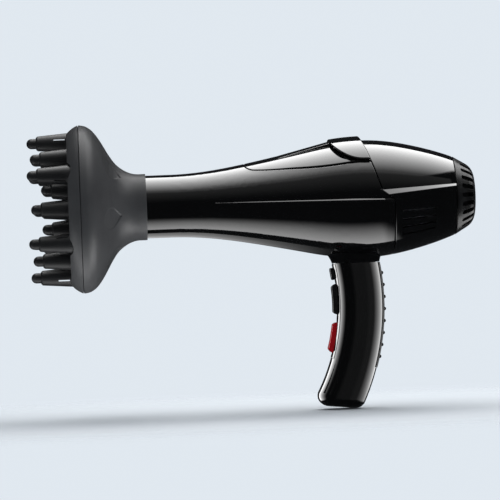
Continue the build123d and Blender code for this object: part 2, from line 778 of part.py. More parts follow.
@lru_cache
def handle_shell():
    """Both halves of the handle in one piece, before they are parted."""
    part = handle_solid(0) - handle_solid(HANDLE_WALL)
    for angle in SCREW_ANGLES:
        boss = rod(screw_line(angle), -HANDLE_WIDTH / 2, HANDLE_WIDTH / 2, SCREW_BOSS_R)
        part += boss & handle_solid(HANDLE_WALL / 2)
    plate_cut = plate_zone(FIT_GAP) - handle_solid(PLATE_DEPTH + FIT_GAP)
    strip_cut = strip_zone(FIT_GAP) - handle_solid(STRIP_DEPTH + FIT_GAP)
    part -= [plate_cut, strip_cut] + switch_openings()
    for angle in SCREW_ANGLES:
        line = screw_line(angle)
        seat = screw_seat() - SCREW_SINK / 4
        part -= rod(line, seat, HANDLE_WIDTH, SCREW_HEAD_R + FIT_GAP)
        part -= rod(line, seat - SCREW_LENGTH - 1, HANDLE_WIDTH, SCREW_R + SHAFT_CLEARANCE)
    return part - rod(foot_plane(0), -1, HANDLE_WALL + 1, INLET_R + FIT_GAP)


def handle_left():
    return split(handle_shell(), bisect_by=Plane.XZ.offset(HALF_GAP / 2), keep=Keep.TOP)


def handle_right():
    return split(handle_shell(), bisect_by=Plane.XZ.offset(-HALF_GAP / 2), keep=Keep.BOTTOM)


def handle_screws():
    screws = []
    for angle in SCREW_ANGLES:
        line = screw_line(angle)
        head = rod(line, screw_seat(), screw_seat() + SCREW_HEAD, SCREW_HEAD_R)
        screws.append(head + rod(line, screw_seat() - SCREW_LENGTH, screw_seat() + SCREW_HEAD / 2, SCREW_R))
    return Compound(screws)


def neck_collar():
    """Flared saddle that carries the handle under the belly, with a passage for the wires."""
    base_z = HANDLE_TOP_Z + FIT_GAP
    lean = abs(HANDLE_TOP_Z - ARC_Z) / ARC_R
    base_length = HANDLE_DEPTH / sqrt(1 - lean ** 2)
    base_x = handle_level_x(HANDLE_TOP_Z)
    waist_z = NECK_TOP_Z - NECK_WAIST_DROP
    sections = [
        Pos(base_x, 0, base_z) * RectangleRounded(base_length, HANDLE_WIDTH, HANDLE_CORNER),
        Pos(base_x + (NECK_TOP_X - base_x) * NECK_WAIST_SHARE, 0, waist_z) * RectangleRounded(
            base_length + (NECK_TOP_LENGTH - base_length) * NECK_WAIST_SHARE,
            HANDLE_WIDTH + (NECK_TOP_WIDTH - HANDLE_WIDTH) * NECK_WAIST_SHARE, HANDLE_CORNER),
        Pos(NECK_TOP_X, 0, NECK_TOP_Z) * RectangleRounded(NECK_TOP_LENGTH, NECK_TOP_WIDTH, HANDLE_CORNER)]
    part = loft(sections) - body(-FIT_GAP)
    return part - Pos(base_x, 0, base_z) * Cylinder(NECK_BORE_R, BELLY_R)


def switch_plate():
    """Bent cover over the front of the handle with openings for the three switches."""
    part = (handle_solid(-PLATE_PROUD) - handle_solid(PLATE_DEPTH)) & plate_zone(0)
    return part - switch_openings()


def grip_strip():
    """Rubber strip let into the back of the handle, with ribs across it."""
    part = (handle_solid(-STRIP_PROUD) - handle_solid(STRIP_DEPTH)) & strip_zone(0)
    step = RIB_PITCH / radians(1) / back_r()
    for k in range(RIB_COUNT):
        spot = handle_point(back_r() + STRIP_PROUD - RIB_R / 4, RIB_FIRST + k * step)
        plane = Plane(spot, x_dir=(1, 0, 0), z_dir=(0, 1, 0))
        reach = (HANDLE_WIDTH - 2 * HANDLE_CORNER) / 2 + RIB_R
        part += rod(plane, -reach, reach, RIB_R)
    return part


def rocker(angle, upper_out):
    """Rocker with a V-shaped face, at the end of its travel, on a cross bore for its pin."""
    plane = front_frame(front_r() + PIVOT_DEPTH, angle)
    slope = tan(radians(ROCKER_TRAVEL))
    side = -1 if upper_out else 1
    reach = 2 * ROCKER_SWEEP_R
    valley = PIVOT_DEPTH + ROCKER_FLUSH
    face = Polyline(
        (-side * reach, valley), (0, valley), (side * reach, valley + slope * reach),
        (side * reach, ROCKER_FLOOR), (-side * reach, ROCKER_FLOOR), close=True)
    across = Plane(plane.origin, x_dir=plane.x_dir, z_dir=-plane.y_dir)
    form = (make_face(face) & Circle(ROCKER_SWEEP_R)) + Circle(ROCKER_HUB_R)
    form += Pos(0, ROCKER_FLOOR / 2) * Rectangle(2 * ROCKER_HUB_R, ROCKER_FLOOR)
    form -= Circle(PIN_R + PIN_CLEARANCE)
    part = extrude(across * form, amount=ROCKER_WIDTH / 2, both=True)
    flanks = part.faces().filter_by(Axis.Y)
    return fillet([edge for flank in flanks for edge in flank.outer_wire().edges()], ROCKER_ROUND)


def speed_rocker():
    return rocker(SPEED_ANGLE, True)


def heat_rocker():
    return rocker(HEAT_ANGLE, False)


def wall_depth(y):
    """Depth below the handle's front that clears the inside of its wall at y from the middle."""
    corner = HANDLE_CORNER - HANDLE_WALL
    over = max(y - (HANDLE_WIDTH / 2 - HANDLE_CORNER), 0)
    return HANDLE_WALL + FIT_GAP + corner - sqrt(corner ** 2 - over ** 2)


def switch_body(angle):
    """Switch case behind a rocker, with two ears that hold its pin."""
    plane = front_frame(front_r() + PIVOT_DEPTH, angle)
    inside = ROCKER_WIDTH / 2 + ROCKER_GAP
    outside = inside + SWITCH_EAR
    case = Box(2 * ROCKER_SWEEP_R, 2 * outside, SWITCH_DEPTH, align=(Align.CENTER, Align.CENTER, Align.MAX))
    part = Pos(0, 0, SWITCH_TOP) * case
    ear_top = PIVOT_DEPTH - wall_depth(outside)
    for side in (-1, 1):
        ear = Box(3 * ROCKER_HUB_R, SWITCH_EAR, ear_top - SWITCH_TOP + 1,
                  align=(Align.CENTER, Align.CENTER, Align.MAX))
        part += Pos(0, side * (inside + SWITCH_EAR / 2), ear_top) * ear
    part -= Rot(X=90) * Cylinder(PIN_R + PIN_CLEARANCE, 4 * outside)
    return plane.location * part


def speed_switch():
    return switch_body(SPEED_ANGLE)


def heat_switch():
    return switch_body(HEAT_ANGLE)


def rocker_pins():
    half = ROCKER_WIDTH / 2 + ROCKER_GAP + SWITCH_EAR
    pins = []
    for angle in (SPEED_ANGLE, HEAT_ANGLE):
        spot = handle_point(front_r() + PIVOT_DEPTH, angle)
        pins.append(rod(Plane(spot, x_dir=(1, 0, 0), z_dir=(0, 1, 0)), -half, half, PIN_R))
    return Compound(pins)


def flange_depth():
    """Depth of the button's flange below the handle's front, just inside the wall."""
    return wall_depth(BUTTON_WIDTH / 2 + BUTTON_FLANGE)


def cool_shot_button():
    """Sprung push button with a domed face, a flange that keeps it in, and a stem."""
    plane = front_frame(front_r(), BUTTON_ANGLE)
    under = flange_depth()
    cap = extrude(Pos(0, 0, -under) * RectangleRounded(BUTTON_LENGTH, BUTTON_WIDTH, BUTTON_CORNER),
                  amount=under + BUTTON_PROUD)
    cap = fillet(cap.faces().sort_by(Axis.Z)[-1].edges(), BUTTON_DOME)
    flange = Box(BUTTON_LENGTH + 2 * BUTTON_FLANGE, BUTTON_WIDTH + 2 * BUTTON_FLANGE, BUTTON_FLANGE_THICK,
                 align=(Align.CENTER, Align.CENTER, Align.MAX))
    stem = Cylinder(STEM_R, STEM_LENGTH, align=(Align.CENTER, Align.CENTER, Align.MAX))
    return plane.location * (cap + Pos(0, 0, -under) * flange + Pos(0, 0, -under) * stem)


def cool_shot_switch():
    """Micro switch behind the button, bored for its stem."""
    plane = front_frame(front_r(), BUTTON_ANGLE)
    top = -(flange_depth() + BUTTON_FLANGE_THICK + BUTTON_TRAVEL + FIT_GAP)
    case = Box(MICRO_LENGTH, MICRO_WIDTH, MICRO_DEPTH, align=(Align.CENTER, Align.CENTER, Align.MAX))
    deep = -(flange_depth() + STEM_LENGTH + BUTTON_TRAVEL + FIT_GAP)
    bore = Cylinder(STEM_R + FIT_GAP, top - deep, align=(Align.CENTER, Align.CENTER, Align.MAX))
    return plane.location * (Pos(0, 0, top) * (case - bore))


def cord_inlet_bush():
    """Flanged rubber bush in the foot of the handle, bored for the supply cord."""
    plane = foot_plane(0)
    part = rod(plane, 0, INLET_LENGTH, INLET_R)
    seat = HANDLE_WALL + FIT_GAP
    part += rod(plane, seat, seat + INLET_FLANGE_THICK, INLET_R + INLET_FLANGE)
    return part - rod(plane, -1, INLET_LENGTH + 1, INLET_BORE_R)


def motor_carrier():
    """Air duct with a mounting flange, and vanes that hold the motor in the middle."""
    outer = DUCT_R + DUCT_WALL
    part = tube(DUCT_X0, DUCT_X1, outer, DUCT_R)
    flange_r = body_radius(FLANGE_X + FLANGE_THICK) - WALL - FIT_GAP
    part += tube(FLANGE_X, FLANGE_X + FLANGE_THICK, flange_r, DUCT_R + DUCT_WALL / 2)
    hub_r = CAN_R + FIT_GAP
    part += tube(VANE_X0, VANE_X1, hub_r + DUCT_WALL, hub_r)
    height = DUCT_R - hub_r
    vane = Pos((VANE_X0 + VANE_X1) / 2, 0, hub_r + DUCT_WALL / 2 + height / 2) * Box(
        VANE_X1 - VANE_X0, VANE_THICK, height)
    return part + round_x(vane, VANES)


def bush_hole():
    """Bore for a bearing bush."""
    return BUSH_R + SHAFT_CLEARANCE


def motor_can():
    """Steel can of the motor, its front end bored for a bush."""
    part = tube(CAN_X0, CAN_X1, CAN_R, CAN_R - CAN_WALL)
    return part + tube(CAN_X0, CAN_X0 + BUSH_LENGTH, CAN_R - CAN_WALL / 2, bush_hole())


def motor_end_cap():
    """Plastic end cap of the motor with the rear bush seat."""
    part = tube(CAN_X1, CAN_X1 + END_CAP_THICK, CAN_R, bush_hole())
    seat_end = CAN_X1 + END_CAP_THICK + BUSH_LENGTH / 2
    return part + tube(CAN_X1 + END_CAP_THICK / 2, seat_end, BUSH_R + DUCT_WALL, bush_hole())


def motor_bushes():
    bore = SHAFT_R + SHAFT_CLEARANCE
    front = tube(CAN_X0, CAN_X0 + BUSH_LENGTH, BUSH_R, bore)
    rear_end = CAN_X1 + END_CAP_THICK + BUSH_LENGTH / 2
    return Compound([front, tube(rear_end - BUSH_LENGTH, rear_end, BUSH_R, bore)])


def motor_magnets():
    outer = CAN_R - CAN_WALL - FIT_GAP
    inner = max(outer - MAGNET_THICK, ARMATURE_R + AIR_GAP)
    ring = tube(ARMATURE_X0 - 1, ARMATURE_X1 + 1, outer, inner)
    half = SPAN * tan(radians(MAGNET_SPREAD / 2))
    sector = make_face(Polyline((0, 0), (half, SPAN), (-half, SPAN), close=True))
    wedge = extrude(Plane.YZ * sector, amount=SPAN)
    single = ring & wedge
    return Compound([single, Rot(X=180) * single])


def motor_brushes():
    start = COMMUTATOR_R + FIT_GAP
    middle_x = (COMMUTATOR_X0 + COMMUTATOR_X1) / 2
    brush = Pos(middle_x, 0, start + BRUSH_LENGTH / 2) * Box(BRUSH_WIDTH, BRUSH_WIDTH, BRUSH_LENGTH)
    return Compound([brush, Rot(X=180) * brush])


def motor_shaft():
    return disc(SHAFT_X0, SHAFT_X1, SHAFT_R)


def armature():
    """Slotted core of the motor, on the shaft."""
    part = tube(ARMATURE_X0, ARMATURE_X1, ARMATURE_R, SHAFT_R + SHAFT_CLEARANCE)
    depth = ARMATURE_R - ARMATURE_SLOT_R / 2
    slot = Pos(0, 0, depth) * disc(ARMATURE_X0 - 1, ARMATURE_X1 + 1, ARMATURE_SLOT_R)
    return part - round_x(slot, ARMATURE_SLOTS)


def commutator():
    return tube(COMMUTATOR_X0, COMMUTATOR_X1, COMMUTATOR_R, SHAFT_R + SHAFT_CLEARANCE)


def fan_impeller():
    """Axial fan: a round-nosed hub with twisted blades trimmed to the duct."""
    x0 = FAN_X - FAN_LENGTH / 2
    x1 = FAN_X + FAN_LENGTH / 2
    nose = ThreePointArc(
        (x1 - FAN_NOSE, 0, FAN_HUB_R), (x1 - FAN_NOSE / 3, 0, FAN_HUB_R * 0.8), (x1, 0, FAN_HUB_R / 2))
    rest = Polyline((x1, 0, FAN_HUB_R / 2), (x1, 0, 0), (x0, 0, 0), (x0, 0, FAN_HUB_R),
                    (x1 - FAN_NOSE, 0, FAN_HUB_R))
    hub = revolve(make_face(nose.edges() + rest.edges()), Axis.X)
    root = Pos(FAN_X, 0, FAN_HUB_R * 0.7) * Rot(Z=BLADE_ROOT_TURN) * Rectangle(BLADE_CHORD, BLADE_THICK)
    tip = Pos(FAN_X, 0, DUCT_R + 1) * Rot(Z=BLADE_TIP_TURN) * Rectangle(BLADE_CHORD, BLADE_THICK)
    blade = loft([root, tip]) & disc(x0 - 1, x1 + 1, DUCT_R - FAN_GAP)
    part = hub + round_x(blade, FAN_BLADES)
    return part - disc(x0 - 1, SHAFT_X1 + FIT_GAP, SHAFT_R + SHAFT_CLEARANCE)


def bore_radius():
    """Inner radius of the barrel."""
    return BARREL_R - WALL


def outlet_grille():
    """Guard of rings and spokes just inside the outlet."""
    x0 = OUTLET_X + GRILLE_SETBACK
    x1 = x0 + GRILLE_THICK
    outer = bore_radius() - FIT_GAP
    part = tube(x0, x1, outer, outer - GRILLE_BAR)
    for k in range(1, GRILLE_RINGS + 1):
        radius = outer * k / (GRILLE_RINGS + 1)
        part += tube(x0, x1, radius + GRILLE_BAR / 2, radius - GRILLE_BAR / 2)
    first = outer / (GRILLE_RINGS + 1)
    spoke = Pos((x0 + x1) / 2, 0, (first + outer - GRILLE_BAR / 2) / 2) * Box(
        GRILLE_THICK, GRILLE_BAR, outer - GRILLE_BAR / 2 - first)
    return part + round_x(spoke, GRILLE_SPOKES)


def sleeve_start():
    """Front end of the heater, just behind the outlet grille."""
    return OUTLET_X + GRILLE_SETBACK + GRILLE_THICK + FIT_GAP


def mica_sleeve():
    outer = bore_radius() - FIT_GAP
    return tube(sleeve_start(), sleeve_start() + SLEEVE_LENGTH, outer, outer - SLEEVE_WALL)


def card_reach():
    """Half width of the heater cards, inside the sleeve."""
    return bore_radius() - 2 * FIT_GAP - SLEEVE_WALL


def card_start():
    return sleeve_start() + (SLEEVE_LENGTH - CARD_LENGTH) / 2


def mica_cards():
    """Two crossed insulating cards that carry the heating wires."""
    width = 2 * card_reach()
    middle = Pos(card_start() + CARD_LENGTH / 2, 0, 0)
    return middle * (Box(CARD_LENGTH, width, CARD_THICK) + Box(CARD_LENGTH, CARD_THICK, width))


def heating_wires():
    """Four wires that wind to and fro over both faces of the level card."""
    level = CARD_THICK / 2 + FIT_GAP + WIRE_R
    x = card_start() + WIRE_PITCH
    edges = []
    near, far = WIRE_ROOT, WIRE_REACH
    for k in range(2 * WIRE_LOOPS):
        edges.append(Line((x, near, level), (x, far, level)))
        if k < 2 * WIRE_LOOPS - 1:
            outwards = 1 if far > near else -1
            bend = WIRE_PITCH / 2
            edges.append(ThreePointArc(
                (x, far, level), (x + bend, far + outwards * bend, level), (x + WIRE_PITCH, far, level)))
        near, far = far, near
        x += WIRE_PITCH
    path = Wire(edges)
    section = Plane(path @ 0, z_dir=path % 0) * Circle(WIRE_R)
    single = sweep(section, path)
    return Compound([single, mirror(single, Plane.XZ), mirror(single, Plane.XY),
                     mirror(mirror(single, Plane.XZ), Plane.XY)])


def thermal_cutout():
    """Small safety switch beside the upright card, at the rear of the heater."""
    length, depth, height = CUTOUT_SIZE
    x = card_start() + CARD_LENGTH - length
    return Pos(x, CARD_THICK / 2 + FIT_GAP + depth / 2, card_reach() / 2) * Box(length, depth, height)


PIECES = [
    front_housing, top_panel, top_visor, rear_housing, rear_filter_cap, filter_mesh,
    diffuser_bowl, diffuser_face, outer_fingers, middle_fingers, inner_fingers,
    neck_collar, handle_left, handle_right, handle_screws, switch_plate, grip_strip, cord_inlet_bush,
    speed_rocker, heat_rocker, rocker_pins, speed_switch, heat_switch, cool_shot_button, cool_shot_switch,
    motor_carrier, motor_can, motor_end_cap, motor_bushes, motor_magnets, motor_brushes,
    motor_shaft, armature, commutator, fan_impeller,
    outlet_grille, mica_sleeve, mica_cards, heating_wires, thermal_cutout,
]

os.makedirs("parts", exist_ok=True)
grip = handle_point(ARC_R, GRIP_ANGLE)
for piece in PIECES:
    export_step(Pos(-grip.X, 0, -grip.Z) * piece(), f"parts/{piece.__name__}.step")
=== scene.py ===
"""Looks of a hand-held hair dryer with a fingered diffuser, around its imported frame."""
from __future__ import annotations

import json
import logging
import math
from dataclasses import dataclass, replace
from enum import Enum

import bmesh
import bpy
from mathutils import Matrix, Vector

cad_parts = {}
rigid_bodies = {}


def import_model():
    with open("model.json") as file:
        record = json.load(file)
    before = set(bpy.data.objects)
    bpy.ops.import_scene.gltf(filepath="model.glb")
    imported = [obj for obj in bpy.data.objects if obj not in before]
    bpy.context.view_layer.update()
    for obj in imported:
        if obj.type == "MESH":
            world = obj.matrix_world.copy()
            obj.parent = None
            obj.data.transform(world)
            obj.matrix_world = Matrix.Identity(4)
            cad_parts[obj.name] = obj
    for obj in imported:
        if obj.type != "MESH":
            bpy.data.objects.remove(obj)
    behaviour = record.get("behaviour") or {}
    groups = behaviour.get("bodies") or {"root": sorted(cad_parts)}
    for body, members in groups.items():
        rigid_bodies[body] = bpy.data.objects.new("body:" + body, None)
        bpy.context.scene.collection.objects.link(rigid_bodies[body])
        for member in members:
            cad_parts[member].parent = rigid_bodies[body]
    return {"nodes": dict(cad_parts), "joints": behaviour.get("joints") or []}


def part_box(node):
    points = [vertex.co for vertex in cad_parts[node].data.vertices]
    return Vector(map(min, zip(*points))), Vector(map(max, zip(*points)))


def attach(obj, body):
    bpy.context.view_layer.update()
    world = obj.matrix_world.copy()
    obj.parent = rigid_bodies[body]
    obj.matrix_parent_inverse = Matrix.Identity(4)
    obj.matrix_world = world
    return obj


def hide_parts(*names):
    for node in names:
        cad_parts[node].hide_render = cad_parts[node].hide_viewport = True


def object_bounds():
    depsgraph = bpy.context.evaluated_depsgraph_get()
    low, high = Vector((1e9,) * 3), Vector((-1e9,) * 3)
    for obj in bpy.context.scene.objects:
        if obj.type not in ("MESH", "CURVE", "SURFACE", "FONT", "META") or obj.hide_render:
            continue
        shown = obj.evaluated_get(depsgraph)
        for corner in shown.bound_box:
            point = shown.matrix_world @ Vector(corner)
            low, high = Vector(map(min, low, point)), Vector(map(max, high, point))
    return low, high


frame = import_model()
CAD_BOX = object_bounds()

MM = 0.001
LOG = logging.getLogger("hair_dryer")
Colour = tuple[float, float, float]
Curve = list[tuple[float, float]]
Points = list[Vector]
Faces = list[tuple[int, ...]]
Corners = list[bmesh.types.BMVert]
Fed = bpy.types.NodeSocket | float | tuple[float, ...]


def joint_place(name: str) -> Vector:
    """Place of a joint in the row frame, in metres."""
    joint = next(j for j in frame["joints"] if j["name"] == name)
    return Vector(joint["pos_m"])


AXIS_PLACE = joint_place("fan_spin")


class Grain(Enum):
    """Surface texture that a mould or a process leaves, as cells to the metre and depth in metres."""

    POLISHED = (900.0, 0.000004)
    SATIN = (3200.0, 0.00001)
    SPARKED = (2600.0, 0.00003)
    RUBBER = (1800.0, 0.00003)
    METAL = (5000.0, 0.000006)
    FOAM = (1300.0, 0.0003)


class Ramp(Enum):
    """How a mapped value runs between the ends of its range."""

    STRAIGHT = "LINEAR"
    SOFT = "SMOOTHSTEP"
    SOFTEST = "SMOOTHERSTEP"


class NodeBench:
    """Short-hand for placing and wiring nodes in one tree."""

    noise_span: tuple[float, float] = (0.3, 0.7)

    def __init__(self, tree: bpy.types.NodeTree) -> None:
        """Keeps the tree that nodes go into."""
        self.tree = tree

    def add(self, kind: str, **settings: object) -> bpy.types.Node:
        """Places a node and sets its own properties.

        Args:
            kind: Node class name.
            settings: Properties of the node.

        Returns:
            The new node.
        """
        node = self.tree.nodes.new(kind)
        for name, value in settings.items():
            setattr(node, name, value)
        return node

    def wire(self, source: bpy.types.NodeSocket, target: bpy.types.NodeSocket) -> None:
        """Joins two sockets."""
        self.tree.links.new(source, target)

    def feed(self, target: bpy.types.NodeSocket, value: Fed) -> None:
        """Gives a socket what feeds it.

        Args:
            target: The socket.
            value: Another socket, which is wired to it, or a plain value.
        """
        if isinstance(value, bpy.types.NodeSocket):
            self.wire(value, target)
        else:
            target.default_value = value

    def math(self, operation: str, *values: Fed) -> bpy.types.NodeSocket:
        """Places a maths node.

        Args:
            operation: What it does.
            values: Sockets or numbers that feed it, in order.

        Returns:
            Its output.
        """
        node = self.add("ShaderNodeMath", operation=operation)
        for socket, value in zip(node.inputs, values):
            self.feed(socket, value)
        return node.outputs[0]

    def noise(self, place: bpy.types.NodeSocket, cells: Fed, detail: float) -> bpy.types.NodeSocket:
        """Places a noise texture.

        Args:
            place: Where the texture is read.
            cells: Cells to the metre.
            detail: Layers of finer noise.

        Returns:
            Its value.
        """
        node = self.add("ShaderNodeTexNoise")
        for name, value in (("Vector", place), ("Scale", cells), ("Detail", detail)):
            self.feed(node.inputs[name], value)
        return node.outputs["Fac"]

    def ramp(self, value: bpy.types.NodeSocket, span: tuple[float, float], low: Fed = 0.0, high: Fed = 1.0,
             run: Ramp = Ramp.STRAIGHT) -> bpy.types.NodeSocket:
        """Maps a span of a value to a range.

        Args:
            value: The value.
            span: Where the span starts and ends.
            low: Result at its start.
            high: Result at its end.
            run: How the result runs between them.

        Returns:
            The result.
        """
        node = self.add("ShaderNodeMapRange", interpolation_type=run.value)
        for name, limit in zip(("From Min", "From Max", "To Min", "To Max"), (*span, low, high)):
            self.feed(node.inputs[name], limit)
        self.wire(value, node.inputs["Value"])
        return node.outputs["Result"]

    def spread(self, noise: bpy.types.NodeSocket, low: Fed, high: Fed) -> bpy.types.NodeSocket:
        """Maps a noise value, over the span that it mostly keeps to, to a range and returns it."""
        return self.ramp(noise, self.noise_span, low, high)

    def group(self, kind: SharedGroup, given: dict[str, Fed]) -> bpy.types.NodeOutputs:
        """Places a shared group.

        Args:
            kind: Which group.
            given: What feeds its inputs, by name.

        Returns:
            Its outputs.
        """
        node = self.add("ShaderNodeGroup", node_tree=kind.tree())
        for name, value in given.items():
            self.feed(node.inputs[name], value)
        return node.outputs


class SharedGroup(Enum):
    """Shader groups that every finish shares, by name."""

    SURFACE = "moulded_surface"
    EDGES = "worn_edges"

    def tree(self) -> bpy.types.NodeTree:
        """The group's tree, built at its first use."""
        makers = {SharedGroup.SURFACE: moulded_group, SharedGroup.EDGES: edge_group}
        return bpy.data.node_groups.get(self.value) or makers[self]()


def new_group(kind: SharedGroup, defaults: dict[str, Fed], results: tuple[str, ...]) -> bpy.types.NodeTree:
    """Starts a shader group with named sockets.

    Args:
        kind: Which group.
        defaults: Its inputs by name, each with a number or a colour of four.
        results: Its outputs, of which Colour is a colour and the others are numbers.

    Returns:
        The group's tree.
    """
    tree = bpy.data.node_groups.new(kind.value, "ShaderNodeTree")
    kinds = {True: "NodeSocketColor", False: "NodeSocketFloat"}
    for name, value in defaults.items():
        socket = tree.interface.new_socket(name=name, in_out="INPUT", socket_type=kinds[isinstance(value, tuple)])
        socket.default_value = value
    for name in results:
        tree.interface.new_socket(name=name, in_out="OUTPUT", socket_type=kinds[name == "Colour"])
    return tree


def moulded_group() -> bpy.types.NodeTree:
    """Builds the group for moulded and worked surfaces: grain height, drifting roughness and uneven colour.

    Returns:
        The group's tree.
    """
    cloud_cells, smear_cells, cloud_share = 38.0, 160.0, 0.6
    defaults = {"Colour": (0.5, 0.5, 0.5, 1.0), "Drift": 0.1, "Smooth": 0.1, "Rough": 0.2, "Cells": 1000.0}
    tree = new_group(SharedGroup.SURFACE, defaults, ("Colour", "Roughness", "Height"))
    bench = NodeBench(tree)
    given = bench.add("NodeGroupInput").outputs
    result = bench.add("NodeGroupOutput").inputs
    place = bench.add("ShaderNodeTexCoord").outputs["Object"]
    cloud = bench.noise(place, cloud_cells, detail=4.0)
    smear = bench.noise(place, smear_cells, detail=3.0)
    handled = bench.math("MULTIPLY_ADD", cloud, cloud_share, bench.math("MULTIPLY", smear, 1 - cloud_share))
    bench.wire(bench.spread(handled, given["Smooth"], given["Rough"]), result["Roughness"])
    light = bench.add("ShaderNodeHueSaturation")
    bench.wire(given["Colour"], light.inputs["Color"])
    low = bench.math("SUBTRACT", 1.0, given["Drift"])
    high = bench.math("ADD", 1.0, given["Drift"])
    bench.wire(bench.spread(cloud, low, high), light.inputs["Value"])
    bench.wire(light.outputs["Color"], result["Colour"])
    bench.wire(bench.noise(place, given["Cells"], detail=2.0), result["Height"])
    return tree


def edge_group() -> bpy.types.NodeTree:
    """Builds the group for worn edges: it lightens the colour where the surface turns sharply outwards.

    Returns:
        The group's tree.
    """
    outwards, patch_cells, least_worn = (0.52, 0.62), 420.0, 0.2
    defaults = {"Colour": (0.5, 0.5, 0.5, 1.0), "Worn Colour": (0.6, 0.6, 0.6, 1.0), "Amount": 0.2}
    tree = new_group(SharedGroup.EDGES, defaults, ("Colour",))
    bench = NodeBench(tree)
    given = bench.add("NodeGroupInput").outputs
    result = bench.add("NodeGroupOutput").inputs
    edge = bench.ramp(bench.add("ShaderNodeNewGeometry").outputs["Pointiness"], outwards)
    patch = bench.noise(bench.add("ShaderNodeTexCoord").outputs["Object"], patch_cells, detail=4.0)
    worn = bench.math("MULTIPLY", edge, bench.spread(patch, least_worn, 1.0))
    mix = bench.add("ShaderNodeMix", data_type="RGBA")
    bench.wire(bench.math("MULTIPLY", worn, given["Amount"]), mix.inputs["Factor"])
    bench.wire(given["Colour"], mix.inputs["A"])
    bench.wire(given["Worn Colour"], mix.inputs["B"])
    bench.wire(mix.outputs["Result"], result["Colour"])
    return tree


@dataclass(frozen=True)
class Finish:
    """One finish: colour, how it drifts, roughness range, grain, wear and coat."""

    name: str
    colour: Colour
    grain: Grain
    smooth: float
    rough: float
    drift: float = 0.12
    worn: Colour = (0.3, 0.3, 0.3)
    wear: float = 0.12
    metallic: float = 0.0
    coat: float = 0.0
    coat_rough: float = 0.03
    specular: float = 0.5

    def material(self) -> bpy.types.Material:
        """The finish as a material, built at its first use."""
        return bpy.data.materials.get(self.name) or self.build()

    def build(self) -> bpy.types.Material:
        """Wires a new material from the shared groups.

        Returns:
            The material.
        """
        made = bpy.data.materials.new(self.name)
        made.use_nodes = True
        bench = NodeBench(made.node_tree)
        cells, depth = self.grain.value
        surface = bench.group(SharedGroup.SURFACE, {
            "Colour": (*self.colour, 1.0), "Drift": self.drift, "Smooth": self.smooth, "Rough": self.rough,
            "Cells": cells})
        edges = bench.group(SharedGroup.EDGES, {
            "Colour": surface["Colour"], "Worn Colour": (*self.worn, 1.0), "Amount": self.wear})
        bump = bench.add("ShaderNodeBump")
        bump.inputs["Strength"].default_value = 1.0
        bump.inputs["Distance"].default_value = depth
        bench.wire(surface["Height"], bump.inputs["Height"])
        shader = made.node_tree.nodes["Principled BSDF"].inputs
        bench.wire(edges["Colour"], shader["Base Color"])
        bench.wire(surface["Roughness"], shader["Roughness"])
        bench.wire(bump.outputs["Normal"], shader["Normal"])
        shader["Metallic"].default_value = self.metallic
        shader["Coat Weight"].default_value = self.coat
        shader["Coat Roughness"].default_value = self.coat_rough
        shader["Specular IOR Level"].default_value = self.specular
        return made


GLOSS_BLACK = Finish("gloss_black_housing", (0.0018, 0.0018, 0.002), Grain.POLISHED, 0.04, 0.09, wear=0.05,
                     worn=(0.08, 0.08, 0.08), coat=1.0, specular=0.8)
CAP_BLACK = Finish("satin_black_cap", (0.004, 0.004, 0.0042), Grain.SATIN, 0.24, 0.32, wear=0.08)
NECK_BLACK = Finish("satin_black_neck", (0.004, 0.004, 0.0045), Grain.SATIN, 0.24, 0.36, wear=0.05)
DIFFUSER_GREY = Finish("sparked_grey_diffuser", (0.068, 0.068, 0.07), Grain.SPARKED, 0.34, 0.44, wear=0.1)
FINGER_BLACK = Finish("sparked_black_fingers", (0.017, 0.017, 0.018), Grain.SPARKED, 0.38, 0.5, wear=0.15)
RUBBER_BLACK = Finish("black_rubber", (0.011, 0.011, 0.011), Grain.RUBBER, 0.5, 0.68, wear=0.06)
PLATE_BLACK = Finish("gloss_black_plate", (0.002, 0.002, 0.0022), Grain.POLISHED, 0.06, 0.12, wear=0.06, coat=0.8)
SWITCH_BLACK = Finish("semi_gloss_black_switch", (0.009, 0.009, 0.009), Grain.POLISHED, 0.07, 0.13)
SWITCH_RED = Finish("gloss_red_switch", (0.5, 0.006, 0.012), Grain.POLISHED, 0.08, 0.16, worn=(0.7, 0.1, 0.1))
CASE_BLACK = Finish("plain_black_switch_case", (0.02, 0.02, 0.02), Grain.SATIN, 0.4, 0.55)
STEEL = Finish("plain_steel", (0.5, 0.5, 0.51), Grain.METAL, 0.24, 0.4, metallic=1.0)
GAUZE = Finish("dark_steel_gauze", (0.09, 0.09, 0.095), Grain.METAL, 0.3, 0.45, metallic=1.0)
BRONZE = Finish("sintered_bronze", (0.55, 0.36, 0.14), Grain.METAL, 0.35, 0.5, metallic=1.0)
# near-black foam: its colour is painted shade for the hollow behind the cap's slots
FOAM = Finish("black_filter_foam_slot_shade", (0.006, 0.006, 0.006), Grain.FOAM, 0.8, 0.95, drift=0.3, wear=0.0)
FERRITE = Finish("dark_ferrite", (0.03, 0.03, 0.033), Grain.RUBBER, 0.45, 0.6)
CARRIER_GREY = Finish("grey_carrier", (0.2, 0.2, 0.21), Grain.SATIN, 0.35, 0.5)
NATURAL = Finish("natural_end_cap", (0.42, 0.39, 0.3), Grain.SATIN, 0.4, 0.5)
MICA = Finish("pressed_mica", (0.55, 0.5, 0.4), Grain.RUBBER, 0.35, 0.6, drift=0.25)
WIRE = Finish("resistance_wire", (0.4, 0.35, 0.31), Grain.METAL, 0.3, 0.5, metallic=1.0)
PAPER = Finish("studio_paper", (0.64, 0.68, 0.72), Grain.SATIN, 0.75, 0.85, drift=0.01, wear=0.0)


